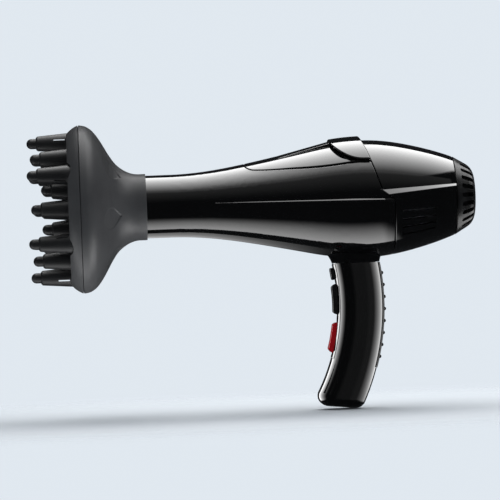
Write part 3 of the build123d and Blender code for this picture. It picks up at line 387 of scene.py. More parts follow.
def bridge(rings: int, around: int, start: int = 0, looped: bool = False) -> Faces:
    """Quads between closed rings of equal count that follow each other.

    Args:
        rings: Number of rings.
        around: Points in each ring.
        start: Index of the first point of the first ring.
        looped: True where the last ring joins the first.

    Returns:
        The quads, as indices.
    """
    faces = []
    for ring in range(rings if looped else rings - 1):
        here, then = start + ring * around, start + (ring + 1) % rings * around
        for k in range(around):
            after = (k + 1) % around
            faces.append((here + k, here + after, then + after, then + k))
    return faces


def turned(sections: list[Curve], place: Vector) -> tuple[Points, Faces]:
    """Closed ring from sections that stand evenly round an axis along X.

    Args:
        sections: Corners of each section in turn, all of equal count, as distance along the axis and radius in metres.
        place: Point of the axis that the distances are taken from.

    Returns:
        The ring's points and faces.
    """
    points = []
    for k, section in enumerate(sections):
        turn = 2 * math.pi * k / len(sections)
        points += [place + Vector((x, -r * math.cos(turn), r * math.sin(turn))) for x, r in section]
    return points, bridge(len(sections), len(sections[0]), looped=True)


def wall(work: bmesh.types.BMesh, first: Corners, second: Corners) -> None:
    """Adds the quads between two closed loops of equal count.

    Args:
        work: Mesh that takes them.
        first: Corners of one loop.
        second: Corners of the other, in the same order.
    """
    for k in range(len(first)):
        after = (k + 1) % len(first)
        work.faces.new((first[k], first[after], second[after], second[k]))


def finished(work: bmesh.types.BMesh, name: str, crease_deg: float) -> bpy.types.Mesh:
    """Mesh from one at work, facing outwards and smooth up to an angle.

    Args:
        work: The mesh at work, given up here.
        name: Name of the mesh.
        crease_deg: Angle from which an edge stays sharp.

    Returns:
        The mesh.
    """
    bmesh.ops.recalc_face_normals(work, faces=work.faces)
    mesh = bpy.data.meshes.new(name)
    work.to_mesh(mesh)
    work.free()
    mesh.shade_smooth()
    mesh.set_sharp_from_angle(angle=math.radians(crease_deg))
    return mesh


def smooth_mesh(name: str, points: Points, faces: Faces, crease_deg: float, weld: float = 0.0) -> bpy.types.Mesh:
    """Mesh from points and faces.

    Args:
        name: Name of the mesh.
        points: Its points.
        faces: Its faces, as indices.
        crease_deg: Angle from which an edge stays sharp.
        weld: Distance in metres up to which points become one.

    Returns:
        The mesh.
    """
    work = bmesh.new()
    corners = [work.verts.new(point) for point in points]
    for face in faces:
        work.faces.new([corners[k] for k in face])
    if weld:
        bmesh.ops.remove_doubles(work, verts=work.verts, dist=weld)
        bmesh.ops.dissolve_degenerate(work, edges=work.edges, dist=weld)
    return finished(work, name, crease_deg)


class Body(Enum):
    """Bodies of the frame that built pieces ride on."""

    HOUSING = "body"
    FILTER_CAP = "filter_cap"
    DIFFUSER = "diffuser"
    SPEED_ROCKER = "speed_rocker"
    HEAT_ROCKER = "heat_rocker"


@dataclass
class SubAssembly:
    """Pieces that belong together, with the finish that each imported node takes."""

    def finishes(self) -> dict[str, Finish]:
        """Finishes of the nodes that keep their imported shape, by node."""
        return {}

    def meshes(self) -> None:
        """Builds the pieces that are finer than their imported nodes."""

    def dress(self) -> None:
        """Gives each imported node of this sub-assembly its finish."""
        for name, finish in self.finishes().items():
            node = frame["nodes"][name]
            node.data.materials.clear()
            node.data.materials.append(finish.material())
            LOG.info("%s: packed shape in %s", name, finish.name)

    def build(self) -> None:
        """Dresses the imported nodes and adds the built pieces."""
        self.dress()
        self.meshes()

    def piece(self, mesh: bpy.types.Mesh, finish: Finish, body: Body, node: str,
              stands_for: bool = False) -> bpy.types.Object:
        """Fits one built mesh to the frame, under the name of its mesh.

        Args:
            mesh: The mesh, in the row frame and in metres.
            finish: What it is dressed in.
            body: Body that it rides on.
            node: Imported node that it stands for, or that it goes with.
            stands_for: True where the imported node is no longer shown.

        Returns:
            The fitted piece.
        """
        mesh.materials.append(finish.material())
        made = bpy.data.objects.new(mesh.name, mesh)
        bpy.context.scene.collection.objects.link(made)
        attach(made, body.value)
        if stands_for:
            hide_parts(node)
        LOG.info("%s: built mesh in %s, %s %s", mesh.name, finish.name, "for" if stands_for else "by", node)
        return made


@dataclass
class BodyShells(SubAssembly):
    """Gloss shells of the barrel, belly and tail, and the saddle under them with its lap lip; sizes in millimetres."""

    lip_x: float = 42.6
    lip_low: float = -53.0
    lip_high: float = -50.55
    lip_half: tuple[float, float] = (15.7, 13.9)
    lip_corner: float = 10.9
    lip_wall: float = 1.0
    corner_steps: int = 10
    crease_deg: float = 40.0

    def finishes(self) -> dict[str, Finish]:
        """Finishes of the shells and the saddle."""
        shells = ("front_housing", "top_panel", "top_visor", "rear_housing")
        return {**{shell: GLOSS_BLACK for shell in shells}, "neck_collar": NECK_BLACK}

    def meshes(self) -> None:
        """Builds the lip that the handle's top laps over, inside the joint with the saddle."""
        levels = ((self.lip_low, 0.0), (self.lip_high, 0.0), (self.lip_high, self.lip_wall),
                  (self.lip_low, self.lip_wall))
        loops = [self.loop(height, inset) for height, inset in levels]
        points = [point for loop in loops for point in loop]
        faces = bridge(len(loops), len(loops[0]), looped=True)
        lip = smooth_mesh("neck_lap_lip", points, faces, self.crease_deg)
        self.piece(lip, NECK_BLACK, Body.HOUSING, "neck_collar")

    def loop(self, height: float, inset: float) -> Points:
        """Rounded rectangle of the lip at one height.

        Args:
            height: Height above the barrel axis.
            inset: How far the outline is drawn in.

        Returns:
            Its points in order.
        """
        corner = self.lip_corner - inset
        points = []
        for quarter, (sx, sy) in enumerate(((1, 1), (-1, 1), (-1, -1), (1, -1))):
            for k in range(self.corner_steps + 1):
                turn = math.pi / 2 * (quarter + k / self.corner_steps)
                x = sx * (self.lip_half[0] - self.lip_corner) + corner * math.cos(turn)
                y = sy * (self.lip_half[1] - self.lip_corner) + corner * math.sin(turn)
                points.append(AXIS_PLACE + Vector((self.lip_x + x, y, height)) * MM)
        return points


@dataclass
class FilterEnd(SubAssembly):
    """Slotted cap at the tail, with a woven lint gauze in a pressed rim, and foam behind its slots whose near-black
    colour is painted shade in them.
    """

    pitch: float = 1.7 * MM
    wire_r: float = 0.2 * MM
    wire_sides: int = 6
    bends_per_pitch: int = 2
    rim_width: float = 1.6 * MM
    around: int = 96
    gauze_crease_deg: float = 40.0
    foam_mm: tuple[tuple[float, float], ...] = (
        (123.0, 26.6), (124.6, 26.6), (132.1, 22.8), (135.0, 16.0), (136.1, 9.6), (136.1, 0.0),
        (134.9, 0.0), (134.9, 9.2), (133.9, 15.4), (131.2, 21.9), (124.0, 25.4), (123.0, 25.4))
    foam_weld: float = 0.01 * MM
    foam_crease_deg: float = 50.0

    def finishes(self) -> dict[str, Finish]:
        """Finish of the cap."""
        return {"rear_filter_cap": CAP_BLACK}

    def meshes(self) -> None:
        """Weaves the gauze inside its rim and turns the foam, whose near-black colour paints the shade behind the
        slots.
        """
        low, high = (Vector(corner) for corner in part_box("filter_mesh"))
        middle = (low + high) / 2
        radius = (high.y - low.y) / 2
        points, faces = self.rim(middle, radius, (high.x - low.x) / 2)
        reach = radius - self.rim_width / 2
        rows = int(reach / self.pitch)
        for across in (False, True):
            for row in range(-rows, rows + 1):
                self.weave(points, faces, middle, row, reach, across)
        gauze = smooth_mesh("lint_gauze", points, faces, self.gauze_crease_deg)
        self.piece(gauze, GAUZE, Body.FILTER_CAP, "filter_mesh", stands_for=True)
        section = [(x * MM, r * MM) for x, r in self.foam_mm]
        ring = turned([section] * self.around, AXIS_PLACE)
        foam = smooth_mesh("filter_foam", *ring, self.foam_crease_deg, self.foam_weld)
        # the foam's near-black colour paints the shade behind the cap's slots
        self.piece(foam, FOAM, Body.FILTER_CAP, "filter_mesh")

    def rim(self, middle: Vector, radius: float, half: float) -> tuple[Points, Faces]:
        """Flat ring round the gauze, its section closed on itself.

        Args:
            middle: Middle of the gauze.
            radius: Outer radius of the ring.
            half: Half its thickness.

        Returns:
            Its points and faces.
        """
        inner = radius - self.rim_width
        soft = half / 2
        section = [(half - soft, radius), (-half + soft, radius), (-half, radius - soft), (-half, inner),
                   (half, inner), (half, radius - soft)]
        return turned([section] * self.around, middle)

    def weave(self, points: Points, faces: Faces, middle: Vector, row: int, reach: float, across: bool) -> None:
        """Adds one wire that runs over and under those it crosses.

        Args:
            points: Points so far, added to.
            faces: Faces so far, added to.
            middle: Middle of the gauze.
            row: Place of the wire in its set, from the middle.
            reach: Radius that the wire ends at.
            across: True for a level wire, False for an upright one.
        """
        offset = row * self.pitch
        half = math.sqrt(max(reach ** 2 - offset ** 2, 0.0))
        steps = max(int(2 * half / self.pitch * self.bends_per_pitch), 2)
        along, beside = (Vector((0, 1, 0)), Vector((0, 0, 1)))
        if not across:
            along, beside = beside, along
        start = len(points)
        for k in range(steps + 1):
            run = -half + 2 * half * k / steps
            wave = math.cos(math.pi * (run / self.pitch + row)) * (1 if across else -1)
            spot = middle + along * run + beside * offset + Vector((wave * self.wire_r, 0, 0))
            for side in range(self.wire_sides):
                turn = 2 * math.pi * side / self.wire_sides
                points.append(spot + (beside * math.cos(turn) + Vector((math.sin(turn), 0, 0))) * self.wire_r)
        faces += bridge(steps + 1, self.wire_sides, start)
        end = start + steps * self.wire_sides
        faces += [tuple(range(first, first + self.wire_sides)) for first in (start, end)]


@dataclass
class DiffuserHead(SubAssembly):
    """Matte bowl with pressed leaf recesses, front ring and three rings of fingers; sizes in millimetres."""

    outline: tuple[tuple[float, float], ...] = (
        (-123.2, 26.1), (-123.7, 26.4), (-130.5, 26.5), (-136.0, 27.9), (-140.9, 30.5), (-145.1, 33.8),
        (-148.0, 37.1), (-150.2, 40.4), (-152.3, 43.7), (-154.1, 47.0), (-155.9, 50.2), (-157.8, 53.5),
        (-159.9, 56.8), (-162.3, 60.1), (-165.3, 63.3), (-169.5, 66.0), (-174.3, 67.0), (-175.1, 66.4), (-175.47, 65.4))
    steps: int = 8
    around: int = 480
    wall: float = 1.9
    inner_share: int = 4  # one point inside to so many outside
    stop_x: float = -142.3
    stop_thick: float = 2.0
    stop_r: float = 23.2
    bore_r: float = 25.35
    leaf_count: int = 6
    leaf_first_deg: float = -12.0
    leaf_x: float = -151.0
    leaf_length: float = 25.0
    leaf_width: float = 18.0
    leaf_depth: float = 1.1
    leaf_step: float = 0.6
    leaf_widest: float = 0.45  # share of the length, from the round end
    leaf_point: float = 0.8  # 1 for full sides up to the point, 0 for hollow ones
    leaf_edge: float = 0.12  # share of the half width that the step takes up
    leaf_fall: float = 0.5  # power by which the scoop runs out to the point
    crease_deg: float = 50.0

    def finishes(self) -> dict[str, Finish]:
        """Finishes of the ring and the fingers."""
        rings = ("outer_fingers", "middle_fingers", "inner_fingers")
        return {"diffuser_face": DIFFUSER_GREY, **{ring: FINGER_BLACK for ring in rings}}

    def meshes(self) -> None:
        """Turns the bowl with the leaves pressed into its skin."""
        skin = self.skin()
        inside = self.inside(skin)
        runs = [0.0]
        for (x0, r0), (x1, r1) in zip(skin, skin[1:]):
            runs.append(runs[-1] + math.hypot(x1 - x0, r1 - r0))
        middle = next(run for run, (x, _) in zip(runs, skin) if x < self.leaf_x)
        pitch = 2 * math.pi / self.leaf_count
        sections = []
        for k in range(self.around):
            turn = 2 * math.pi * k / self.around - math.radians(self.leaf_first_deg)
            aside = (turn + pitch / 2) % pitch - pitch / 2
            pressed = [(x, r - self.leaf(middle - run, aside * r)) for run, (x, r) in zip(runs, skin)]
            sections.append([(x * MM, r * MM) for x, r in pressed + inside])
        bowl = smooth_mesh("leaf_bowl", *turned(sections, AXIS_PLACE), self.crease_deg)
        self.piece(bowl, DIFFUSER_GREY, Body.DIFFUSER, "diffuser_bowl", stands_for=True)

    def skin(self) -> Curve:
        """Smooth curve through the bowl's outline, from the collar to the rim.

        Returns:
            Its points, as x and radius.
        """
        knots = [Vector(knot) for knot in self.outline]
        knots = [2 * knots[0] - knots[1], *knots, 2 * knots[-1] - knots[-2]]
        curve = []
        for k in range(1, len(knots) - 2):
            before, here, after, beyond = knots[k - 1:k + 3]
            for step in range(self.steps):
                s = step / self.steps
                spot = here * 2 + (after - before) * s + (before * 2 - here * 5 + after * 4 - beyond) * s ** 2
                spot += (here * 3 - before - after * 3 + beyond) * s ** 3
                curve.append(tuple(spot / 2))
        return curve + [self.outline[-1]]

    def inside(self, skin: Curve) -> Curve:
        """Curve of the bowl's inner wall, from the rim back to the collar.

        Args:
            skin: The outer curve, from the collar to the rim.

        Returns:
            The inner curve with the stop lip and the bore, as x and radius.
        """
        inner = []
        stop_end = self.stop_x - self.stop_thick
        for (x0, r0), (x1, r1) in zip(skin, skin[1:]):
            along = Vector((x1 - x0, r1 - r0)).normalized()
            x, r = x0 - along.y * self.wall, r0 + along.x * self.wall
            if skin[-1][0] <= x < stop_end:
                inner.append((x, r))
        inner = [(skin[-1][0], skin[-1][1] - self.wall)] + inner[::-self.inner_share]
        return inner + [(stop_end, self.stop_r), (self.stop_x, self.stop_r), (self.stop_x, self.bore_r),
                        (skin[0][0], self.bore_r)]

    def leaf(self, along: float, aside: float) -> float:
        """Depth of a leaf recess: a scoop with a round end, a crisp edge and a point.

        Args:
            along: Distance from the leaf's middle towards its point.
            aside: Distance from its middle line.

        Returns:
            The depth, 0 outside the leaf.
        """
        t = along / self.leaf_length + 0.5
        if not 0.0 < t < 1.0:
            return 0.0
        across = abs(2 * aside / self.leaf_width)
        if t < self.leaf_widest:
            out = math.hypot(across, 1 - t / self.leaf_widest)
            edge, scoop = t / self.leaf_widest, 1.0
        else:
            q = (t - self.leaf_widest) / (1 - self.leaf_widest)
            out = across / (self.leaf_point * (1 - q ** 2) + (1 - self.leaf_point) * (1 - 3 * q ** 2 + 2 * q ** 3))
            edge, scoop = 1.0, (1 - q) ** self.leaf_fall
        if out >= 1.0:
            return 0.0
        step = min((1 - out) / self.leaf_edge, 1.0)
        return self.leaf_step * edge * step ** 2 * (3 - 2 * step) + self.leaf_depth * scoop * (1 - out ** 2)


@dataclass
class HandleGrip(SubAssembly):
    """Bent handle in two halves, its rubber strip, inlet bush and cross-recessed screws."""

    arc_r: float = 170.0 * MM
    grip_deg: float = 3.0
    screw_arc_r: float = 178.0 * MM
    screw_degs: tuple[float, ...] = (-4.0, 9.0, 22.0)
    head_r: float = 3.0 * MM
    head_edge: float = 0.7 * MM
    head_edge_steps: int = 6
    head_base: float = 13.6 * MM
    head_top: float = 15.8 * MM
    shank_r: float = 1.5 * MM
    shank_end: float = -8.4 * MM
    thread_pitch: float = 1.3 * MM
    thread_depth: float = 0.22 * MM
    cross_arm: float = 1.75 * MM
    cross_half: float = 0.42 * MM
    cross_depth: float = 1.3 * MM
    cross_taper: float = 0.55
    around: int = 48
    crease_deg: float = 35.0

    def finishes(self) -> dict[str, Finish]:
        """Finishes of the halves, strip and bush."""
        return {"handle_left": GLOSS_BLACK, "handle_right": GLOSS_BLACK,
                "grip_strip": RUBBER_BLACK, "cord_inlet_bush": RUBBER_BLACK}

    def meshes(self) -> None:
        """Turns the three screws, with a cross recess in each head."""
        work = bmesh.new()
        for angle in self.screw_degs:
            self.screw(work, self.screw_place(angle))
        screws = finished(work, "cross_screws", self.crease_deg)
        self.piece(screws, STEEL, Body.HOUSING, "handle_screws", stands_for=True)

    def screw_place(self, angle: float) -> Vector:
        """Place of a screw's axis on the middle plane.

        Args:
            angle: Its angle on the handle's arc, in degrees.

        Returns:
            The place, in metres.
        """
        turn, grip = math.radians(angle), math.radians(self.grip_deg)
        return Vector((self.screw_arc_r * math.cos(turn) - self.arc_r * math.cos(grip), 0.0,
                       self.arc_r * math.sin(grip) - self.screw_arc_r * math.sin(turn)))

    def profile(self) -> Curve:
        """Rings of a screw from the head's flat top down to the point of the thread.

        Returns:
            Their radius and height above the middle plane.
        """
        soft = self.head_edge
        steps = [math.pi / 2 * k / self.head_edge_steps for k in range(self.head_edge_steps + 1)]
        rings = [(self.head_r - soft + soft * math.sin(a), self.head_top - soft + soft * math.cos(a)) for a in steps]
        rings += [(self.head_r, self.head_base), (self.shank_r, self.head_base)]
        turns = int((self.head_base - self.shank_end) / self.thread_pitch) - 1
        for k in range(1, turns):
            level = self.head_base - k * self.thread_pitch
            rings += [(self.shank_r - self.thread_depth, level + self.thread_pitch / 2), (self.shank_r, level)]
        return rings + [(self.thread_depth, self.shank_end)]

    def screw(self, work: bmesh.types.BMesh, place: Vector) -> None:
        """Adds one screw to a mesh.

        Args:
            work: Mesh that takes the screw.
            place: Point of its axis on the middle plane.
        """
        turns = [2 * math.pi * k / self.around for k in range(self.around)]
        rings = [[work.verts.new(place + Vector((radius * math.cos(a), height, radius * math.sin(a)))) for a in turns]
                 for radius, height in self.profile()]
        for upper, lower in zip(rings, rings[1:]):
            wall(work, upper, lower)
        work.faces.new(rings[-1])
        mouth = self.cross(work, place, 1.0, self.head_top)
        floor = self.cross(work, place, self.cross_taper, self.head_top - self.cross_depth)
        wall(work, mouth, floor)
        work.faces.new(floor)
        rims = [work.edges.get((loop[k - 1], loop[k])) for loop in (rings[0], mouth) for k in range(len(loop))]
        bmesh.ops.triangle_fill(work, use_beauty=True, edges=rims)

    def cross(self, work: bmesh.types.BMesh, place: Vector, share: float, height: float) -> Corners:
        """Outline of the cross recess at a height.

        Args:
            work: Mesh that takes the points.
            place: Point of the screw's axis on the middle plane.
            share: Share of the mouth's size.
            height: Height above the middle plane.

        Returns:
            The twelve points in order.
        """
        arm, half = self.cross_arm * share, self.cross_half * (1 + share) / 2
        points = []
        for quarter in range(4):
            turn = Matrix.Rotation(math.radians(90.0 * quarter), 4, "Y")
            for u, v in ((arm, half), (arm, -half), (half, -half)):
                points.append(work.verts.new(place + turn @ Vector((u, height, v))))
        return points


@dataclass
class SwitchSet(SubAssembly):
    """Front plate with two thick-capped rockers and a push button, and the cases behind them; sizes in millimetres."""

    cap_outline: tuple[tuple[float, float], ...] = (
        (-12.75, 4.0), (-12.4, 5.6), (-11.9, 7.8), (-10.2, 9.8), (-4.0, 9.6), (3.0, 9.7), (9.9, 10.2), (11.9, 7.8),
        (12.4, 5.6), (12.75, 4.0))
    cap_half_width: float = 5.6
    cap_round: float = 0.8
    cap_round_steps: int = 4
    cap_sharp_deg: float = 20.0
    speed_deg: float = -0.8
    heat_deg: float = 10.9
    crease_deg: float = 40.0

    def finishes(self) -> dict[str, Finish]:
        """Finishes of the plate, rockers, button, pins and cases."""
        cases = ("speed_switch", "heat_switch", "cool_shot_switch")
        return {"switch_plate": PLATE_BLACK, "speed_rocker": SWITCH_BLACK, "heat_rocker": SWITCH_RED,
                "cool_shot_button": SWITCH_BLACK, "rocker_pins": STEEL, **{case: CASE_BLACK for case in cases}}

    def meshes(self) -> None:
        """Caps both rockers: the speed rocker's upper end and the heat rocker's lower end are out.

        The red cap isn't mirrored in the gloss shells, as in the photograph.
        """
        speed = self.cap("speed_rocker_cap", joint_place("speed_tilt"), self.speed_deg, -1)
        self.piece(speed, SWITCH_BLACK, Body.SPEED_ROCKER, "speed_rocker")
        heat = self.cap("heat_rocker_cap", joint_place("heat_tilt"), self.heat_deg, 1)
        self.piece(heat, SWITCH_RED, Body.HEAT_ROCKER, "heat_rocker").visible_glossy = False

    def cap(self, name: str, pivot: Vector, angle: float, side: int) -> bpy.types.Mesh:
        """One rocker's cap, round-edged, over the face of the rocker.

        Args:
            name: Name of the mesh.
            pivot: Place of the rocker's pin.
            angle: Angle of the rocker on the handle's arc, in degrees.
            side: 1 where the lower end is out, -1 where the upper end is.

        Returns:
            The mesh.
        """
        turn = math.radians(angle)
        down = Vector((-math.sin(turn), 0.0, -math.cos(turn)))
        out = Vector((-math.cos(turn), 0.0, math.sin(turn)))
        work = bmesh.new()
        flanks = []
        for across in (-self.cap_half_width, self.cap_half_width):
            flanks.append([work.verts.new(pivot + (down * (side * u) + out * h + Vector((0, across, 0))) * MM)
                           for u, h in self.cap_outline])
            work.faces.new(flanks[-1])
        wall(work, *flanks)
        bmesh.ops.recalc_face_normals(work, faces=work.faces)
        sharp = [edge for edge in work.edges if edge.calc_face_angle() > math.radians(self.cap_sharp_deg)]
        bmesh.ops.bevel(work, geom=sharp, offset=self.cap_round * MM, segments=self.cap_round_steps, profile=0.5,
                        affect="EDGES", clamp_overlap=True)
        return finished(work, name, self.crease_deg)


@dataclass
class MotorUnit(SubAssembly):
    """Motor with its carrier, and the fan on its shaft."""

    def finishes(self) -> dict[str, Finish]:
        """Finishes of the fixed and the turning pieces."""
        return {"motor_carrier": CARRIER_GREY, "motor_can": STEEL, "motor_end_cap": NATURAL,
                "motor_bushes": BRONZE, "motor_magnets": FERRITE, "motor_brushes": BRONZE,
                "motor_shaft": STEEL, "armature": STEEL, "commutator": BRONZE, "fan_impeller": CARRIER_GREY}


@dataclass
class HeaterUnit(SubAssembly):
    """Heater cards with their wires in a sleeve, behind the outlet grille."""

    def finishes(self) -> dict[str, Finish]:
        """Finishes of the heater's pieces."""
        return {"outlet_grille": CASE_BLACK, "mica_sleeve": MICA, "mica_cards": MICA,
                "heating_wires": WIRE, "thermal_cutout": CASE_BLACK}


ASSEMBLIES: tuple[type[SubAssembly], ...] = (
    BodyShells, FilterEnd, DiffuserHead, HandleGrip, SwitchSet, MotorUnit, HeaterUnit)


def put(thing: bpy.types.Object, place: Vector, axes: tuple[Vector, Vector, Vector]) -> None:
    """Puts a lamp or a camera into the scene.

    Args:
        thing: What is put.
        place: Where it goes.
        axes: Its own right, up and back directions there.
    """
    thing.matrix_world = Matrix.Translation(place) @ Matrix(axes).transposed().to_4x4()
    bpy.context.scene.collection.objects.link(thing)


class Flagged(Enum):
    """Pieces that a lamp can be kept to, or kept off, by name."""

    NONE = ()
    SHELLS = ("front_housing", "top_panel", "top_visor", "rear_housing", "rear_filter_cap")
    CAP = ("rear_filter_cap",)
    HANDLE = ("handle_left", "handle_right", "switch_plate", "grip_strip", "cord_inlet_bush", "cool_shot_button",
              "speed_rocker", "heat_rocker", "speed_rocker_cap", "heat_rocker_cap", "cross_screws")
    BOWL = ("leaf_bowl", "diffuser_face")
    DIFFUSER = BOWL + ("outer_fingers", "middle_fingers", "inner_fingers")
    SHELLS_AND_DIFFUSER = SHELLS + DIFFUSER


@dataclass(frozen=True)
class Softbox:
    """One soft rectangular lamp whose light fades from its bright edge to its dim edge.

    The ends across that fade can be soft too, and flags can keep its light to some pieces or off others. Places are in
    metres from the barrel axis above the grip.
    """

    name: str
    place: tuple[float, float, float]
    aim: tuple[float, float, float]
    size: tuple[float, float]
    bright: float
    dim: float = 0.0
    fade: tuple[float, float] = (0.0, 1.0)  # shares of the height where the fade starts and ends
    ends: float = 0.0  # share of the width that each soft end takes
    lit: Flagged = Flagged.NONE
    spared: Flagged = Flagged.NONE

    def hang(self) -> None:
        """Hangs the lamp at its place, out of the camera's sight."""
        data = bpy.data.lights.new(self.name, "AREA")
        data.shape = "RECTANGLE"
        data.size, data.size_y = self.size
        data.energy = math.pi * self.size[0] * self.size[1]
        data.use_nodes = True
        self.shade(data.node_tree)
        lamp = bpy.data.objects.new(self.name, data)
        lamp.visible_camera = False
        if self.lit is not Flagged.NONE or self.spared is not Flagged.NONE:
            lamp.light_linking.receiver_collection = self.receivers()
        away = (Vector(self.place) - Vector(self.aim)).normalized()
        side = Vector((0.0, 1.0, 0.0)).cross(away).normalized()
        put(lamp, AXIS_PLACE + Vector(self.place), (side, away.cross(side), away))

    def shade(self, tree: bpy.types.NodeTree) -> None:
        """Wires how the light fades across the lamp.

        Args:
            tree: The lamp's nodes.
        """
        bench = NodeBench(tree)
        across = bench.add("ShaderNodeSeparateXYZ")
        bench.wire(bench.add("ShaderNodeNewGeometry").outputs["Parametric"], across.inputs["Vector"])
        shine = bench.ramp(across.outputs["Y"], self.fade, self.dim, self.bright, Ramp.SOFT)
        if self.ends:
            for end in (across.outputs["X"], bench.math("SUBTRACT", 1.0, across.outputs["X"])):
                shine = bench.math("MULTIPLY", shine, bench.ramp(end, (0.0, self.ends), run=Ramp.SOFT))
        bench.wire(shine, tree.nodes["Emission"].inputs["Strength"])

    def receivers(self) -> bpy.types.Collection:
        """Gathers the pieces that the lamp lights.

        Returns:
            A collection of them.
        """
        lit, spared = self.lit.value, self.spared.value
        group = bpy.data.collections.new(self.name)
        for piece in bpy.context.scene.objects:
            if piece.type == "MESH" and (piece.name in lit if lit else piece.name not in spared):
                group.objects.link(piece)
        return group


TOP_SOFTBOX = Softbox("top_softbox", (0.14, -0.18, 0.9), (0.14, -0.18, 0.0), (1.42, 1.94), bright=4.4,
                      fade=(0.15, 0.85), ends=0.05, spared=Flagged.BOWL)
SOFTBOXES = (
    TOP_SOFTBOX,
    replace(TOP_SOFTBOX, name="bowl_top", bright=2.4, lit=Flagged.BOWL, spared=Flagged.NONE),
    Softbox("low_panel", (-0.21, -0.155, -0.1645), (-0.21, -0.155, 0.0), (0.68, 0.30), bright=2.0,
            fade=(0.4, 1.0), ends=0.06, lit=Flagged.SHELLS_AND_DIFFUSER),
    Softbox("under_panel", (-0.27, 0.36, -0.1645), (-0.27, 0.36, 0.0), (0.6, 0.6), bright=0.85, dim=0.85,
            ends=0.3, lit=Flagged.SHELLS),
    Softbox("front_haze", (0.0, -1.35, 0.85), (0.0, 0.0, 0.0), (3.4, 1.3), bright=0.12),
    Softbox("handle_haze", (1.06, -2.175, -0.05), (0.045, 0.0, -0.05), (3.0, 3.8), bright=0.07,
            fade=(0.0, 0.5), ends=0.1, lit=Flagged.HANDLE),
    Softbox("left_strip", (-0.94, 0.19, 0.04), (0.045, 0.0, -0.05), (1.7, 1.68), bright=5.0,
            fade=(0.1, 1.0), ends=0.15, lit=Flagged.HANDLE),
    Softbox("right_strip", (1.045, -0.035, -0.15), (0.045, 0.0, -0.1), (1.4, 2.0), bright=3.6,
            ends=0.35, lit=Flagged.HANDLE),
    Softbox("cap_high", (0.8, 0.3, 0.5), (0.13, 0.0, 0.0), (0.5, 0.6), bright=2.8, dim=2.8, lit=Flagged.CAP),
    Softbox("cap_low", (0.34, 0.09, -0.15), (0.13, -0.02, -0.02), (0.14, 0.2), bright=2.4, dim=2.4, lit=Flagged.CAP),
    Softbox("bowl_high", (0.43, -0.1, 0.54), (-0.16, 0.0, 0.0), (0.4, 0.4), bright=0.6, dim=0.6,
            lit=Flagged.DIFFUSER),
    Softbox("bowl_low", (-0.01, -0.03, -0.15), (-0.16, 0.0, 0.0), (0.12, 0.12), bright=1.5, dim=1.5,
            lit=Flagged.DIFFUSER),
)


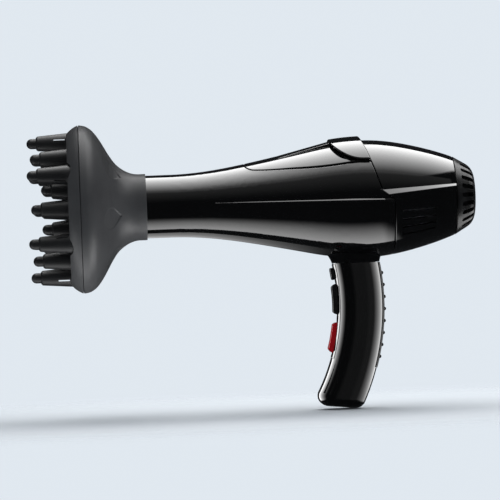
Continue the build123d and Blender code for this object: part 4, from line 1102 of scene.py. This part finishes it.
@dataclass
class Studio:
    """Pale floor, soft lamps and the camera that takes the photograph's view."""

    softboxes: tuple[Softbox, ...] = SOFTBOXES
    photo_pixels: float = 500.0
    axis_pixel: tuple[float, float] = (300.0, 201.3)
    mm_per_pixel: float = 0.8
    roll_deg: float = 2.2
    azimuth_deg: float = -3.0
    distance: float = 2.5
    sensor_mm: float = 36.0
    clip_end: float = 50.0
    floor_gap: float = 0.0006
    floor_half_width: float = 1.2
    floor_fade: tuple[float, float] = (0.24, 0.75)
    floor_depth_share: float = 0.5
    room_colour: Colour = (0.75, 0.81, 0.87)
    room_seen: float = 1.0  # strength to the camera, then in mirrors, then as light on matt surfaces
    room_mirrored: float = 0.02
    room_light: float = 0.35

    def build(self) -> None:
        """Builds the whole studio."""
        self.floor()
        for softbox in self.softboxes:
            softbox.hang()
        self.room()
        self.camera()

    def floor(self) -> None:
        """Lays a pale floor that fades into the pale room away from the dryer, and is clear from below."""
        low, high = CAD_BOX
        half = self.floor_half_width
        mesh = bpy.data.meshes.new("studio_floor")
        mesh.from_pydata([(-half, -half, 0), (half, -half, 0), (half, half, 0), (-half, half, 0)], [], [(0, 1, 2, 3)])
        mesh.materials.append(self.paper())
        floor = bpy.data.objects.new("studio_floor", mesh)
        floor.location = ((low[0] + high[0]) / 2, 0.0, low[2] - self.floor_gap)
        floor.scale.y = self.floor_depth_share
        floor.visible_glossy = False
        bpy.context.scene.collection.objects.link(floor)

    def paper(self) -> bpy.types.Material:
        """Makes the floor's paper, which fades out away from its middle and is clear from behind.

        Returns:
            The material.
        """
        paper = PAPER.material()
        bench = NodeBench(paper.node_tree)
        away = bench.add("ShaderNodeVectorMath", operation="LENGTH")
        bench.wire(bench.add("ShaderNodeTexCoord").outputs["Object"], away.inputs[0])
        near = bench.ramp(away.outputs["Value"], self.floor_fade, 1.0, 0.0, Ramp.SOFTEST)
        above = bench.math("SUBTRACT", 1.0, bench.add("ShaderNodeNewGeometry").outputs["Backfacing"])
        seen = bench.math("MULTIPLY", near, above)
        bench.wire(seen, paper.node_tree.nodes["Principled BSDF"].inputs["Alpha"])
        return paper

    def room(self) -> None:
        """Sets a room that is pale to the eye and dim, as flagged, in gloss."""
        scene = bpy.context.scene
        scene.world = bpy.data.worlds.new("studio_room")
        scene.world.use_nodes = True
        bench = NodeBench(scene.world.node_tree)
        backdrop = scene.world.node_tree.nodes["Background"]
        backdrop.inputs["Color"].default_value = (*self.room_colour, 1.0)
        rays = bench.add("ShaderNodeLightPath").outputs
        seen = bench.math("MAXIMUM", rays["Is Camera Ray"], rays["Is Transmission Ray"])
        strength = bench.math("MULTIPLY", rays["Is Diffuse Ray"], self.room_light)
        for share, level in ((seen, self.room_seen), (rays["Is Glossy Ray"], self.room_mirrored)):
            strength = bench.math("MULTIPLY_ADD", share, level, strength)
        bench.wire(strength, backdrop.inputs["Strength"])
        scene.view_settings.view_transform = "Standard"

    def camera(self) -> None:
        """Puts the camera where the barrel axis falls on its pixel in the photograph."""
        turn = math.radians(self.azimuth_deg)
        roll = math.radians(self.roll_deg)
        back = Vector((math.sin(turn), -math.cos(turn), 0.0))
        level = Vector((math.cos(turn), math.sin(turn), 0.0))
        up = level * math.sin(roll) + Vector((0.0, 0.0, math.cos(roll)))
        right = up.cross(back)
        pixel = self.mm_per_pixel * MM
        across = (self.axis_pixel[0] - self.photo_pixels / 2) * pixel
        above = (self.photo_pixels / 2 - self.axis_pixel[1]) * pixel
        target = AXIS_PLACE - right * across - up * above
        data = bpy.data.cameras.new("photo_camera")
        data.sensor_width = self.sensor_mm
        data.lens = self.sensor_mm * self.distance / (self.photo_pixels * pixel)
        data.clip_end = self.clip_end
        camera = bpy.data.objects.new("photo_camera", data)
        put(camera, target + back * self.distance, (right, up, back))
        bpy.context.scene.camera = camera


def main() -> None:
    """Builds the dryer's sub-assemblies in order, then the studio."""
    logging.basicConfig(level=logging.INFO, format="%(name)s: %(message)s")
    for assembly in ASSEMBLIES:
        assembly().build()
    Studio().build()


if __name__ == "__main__":
    main()
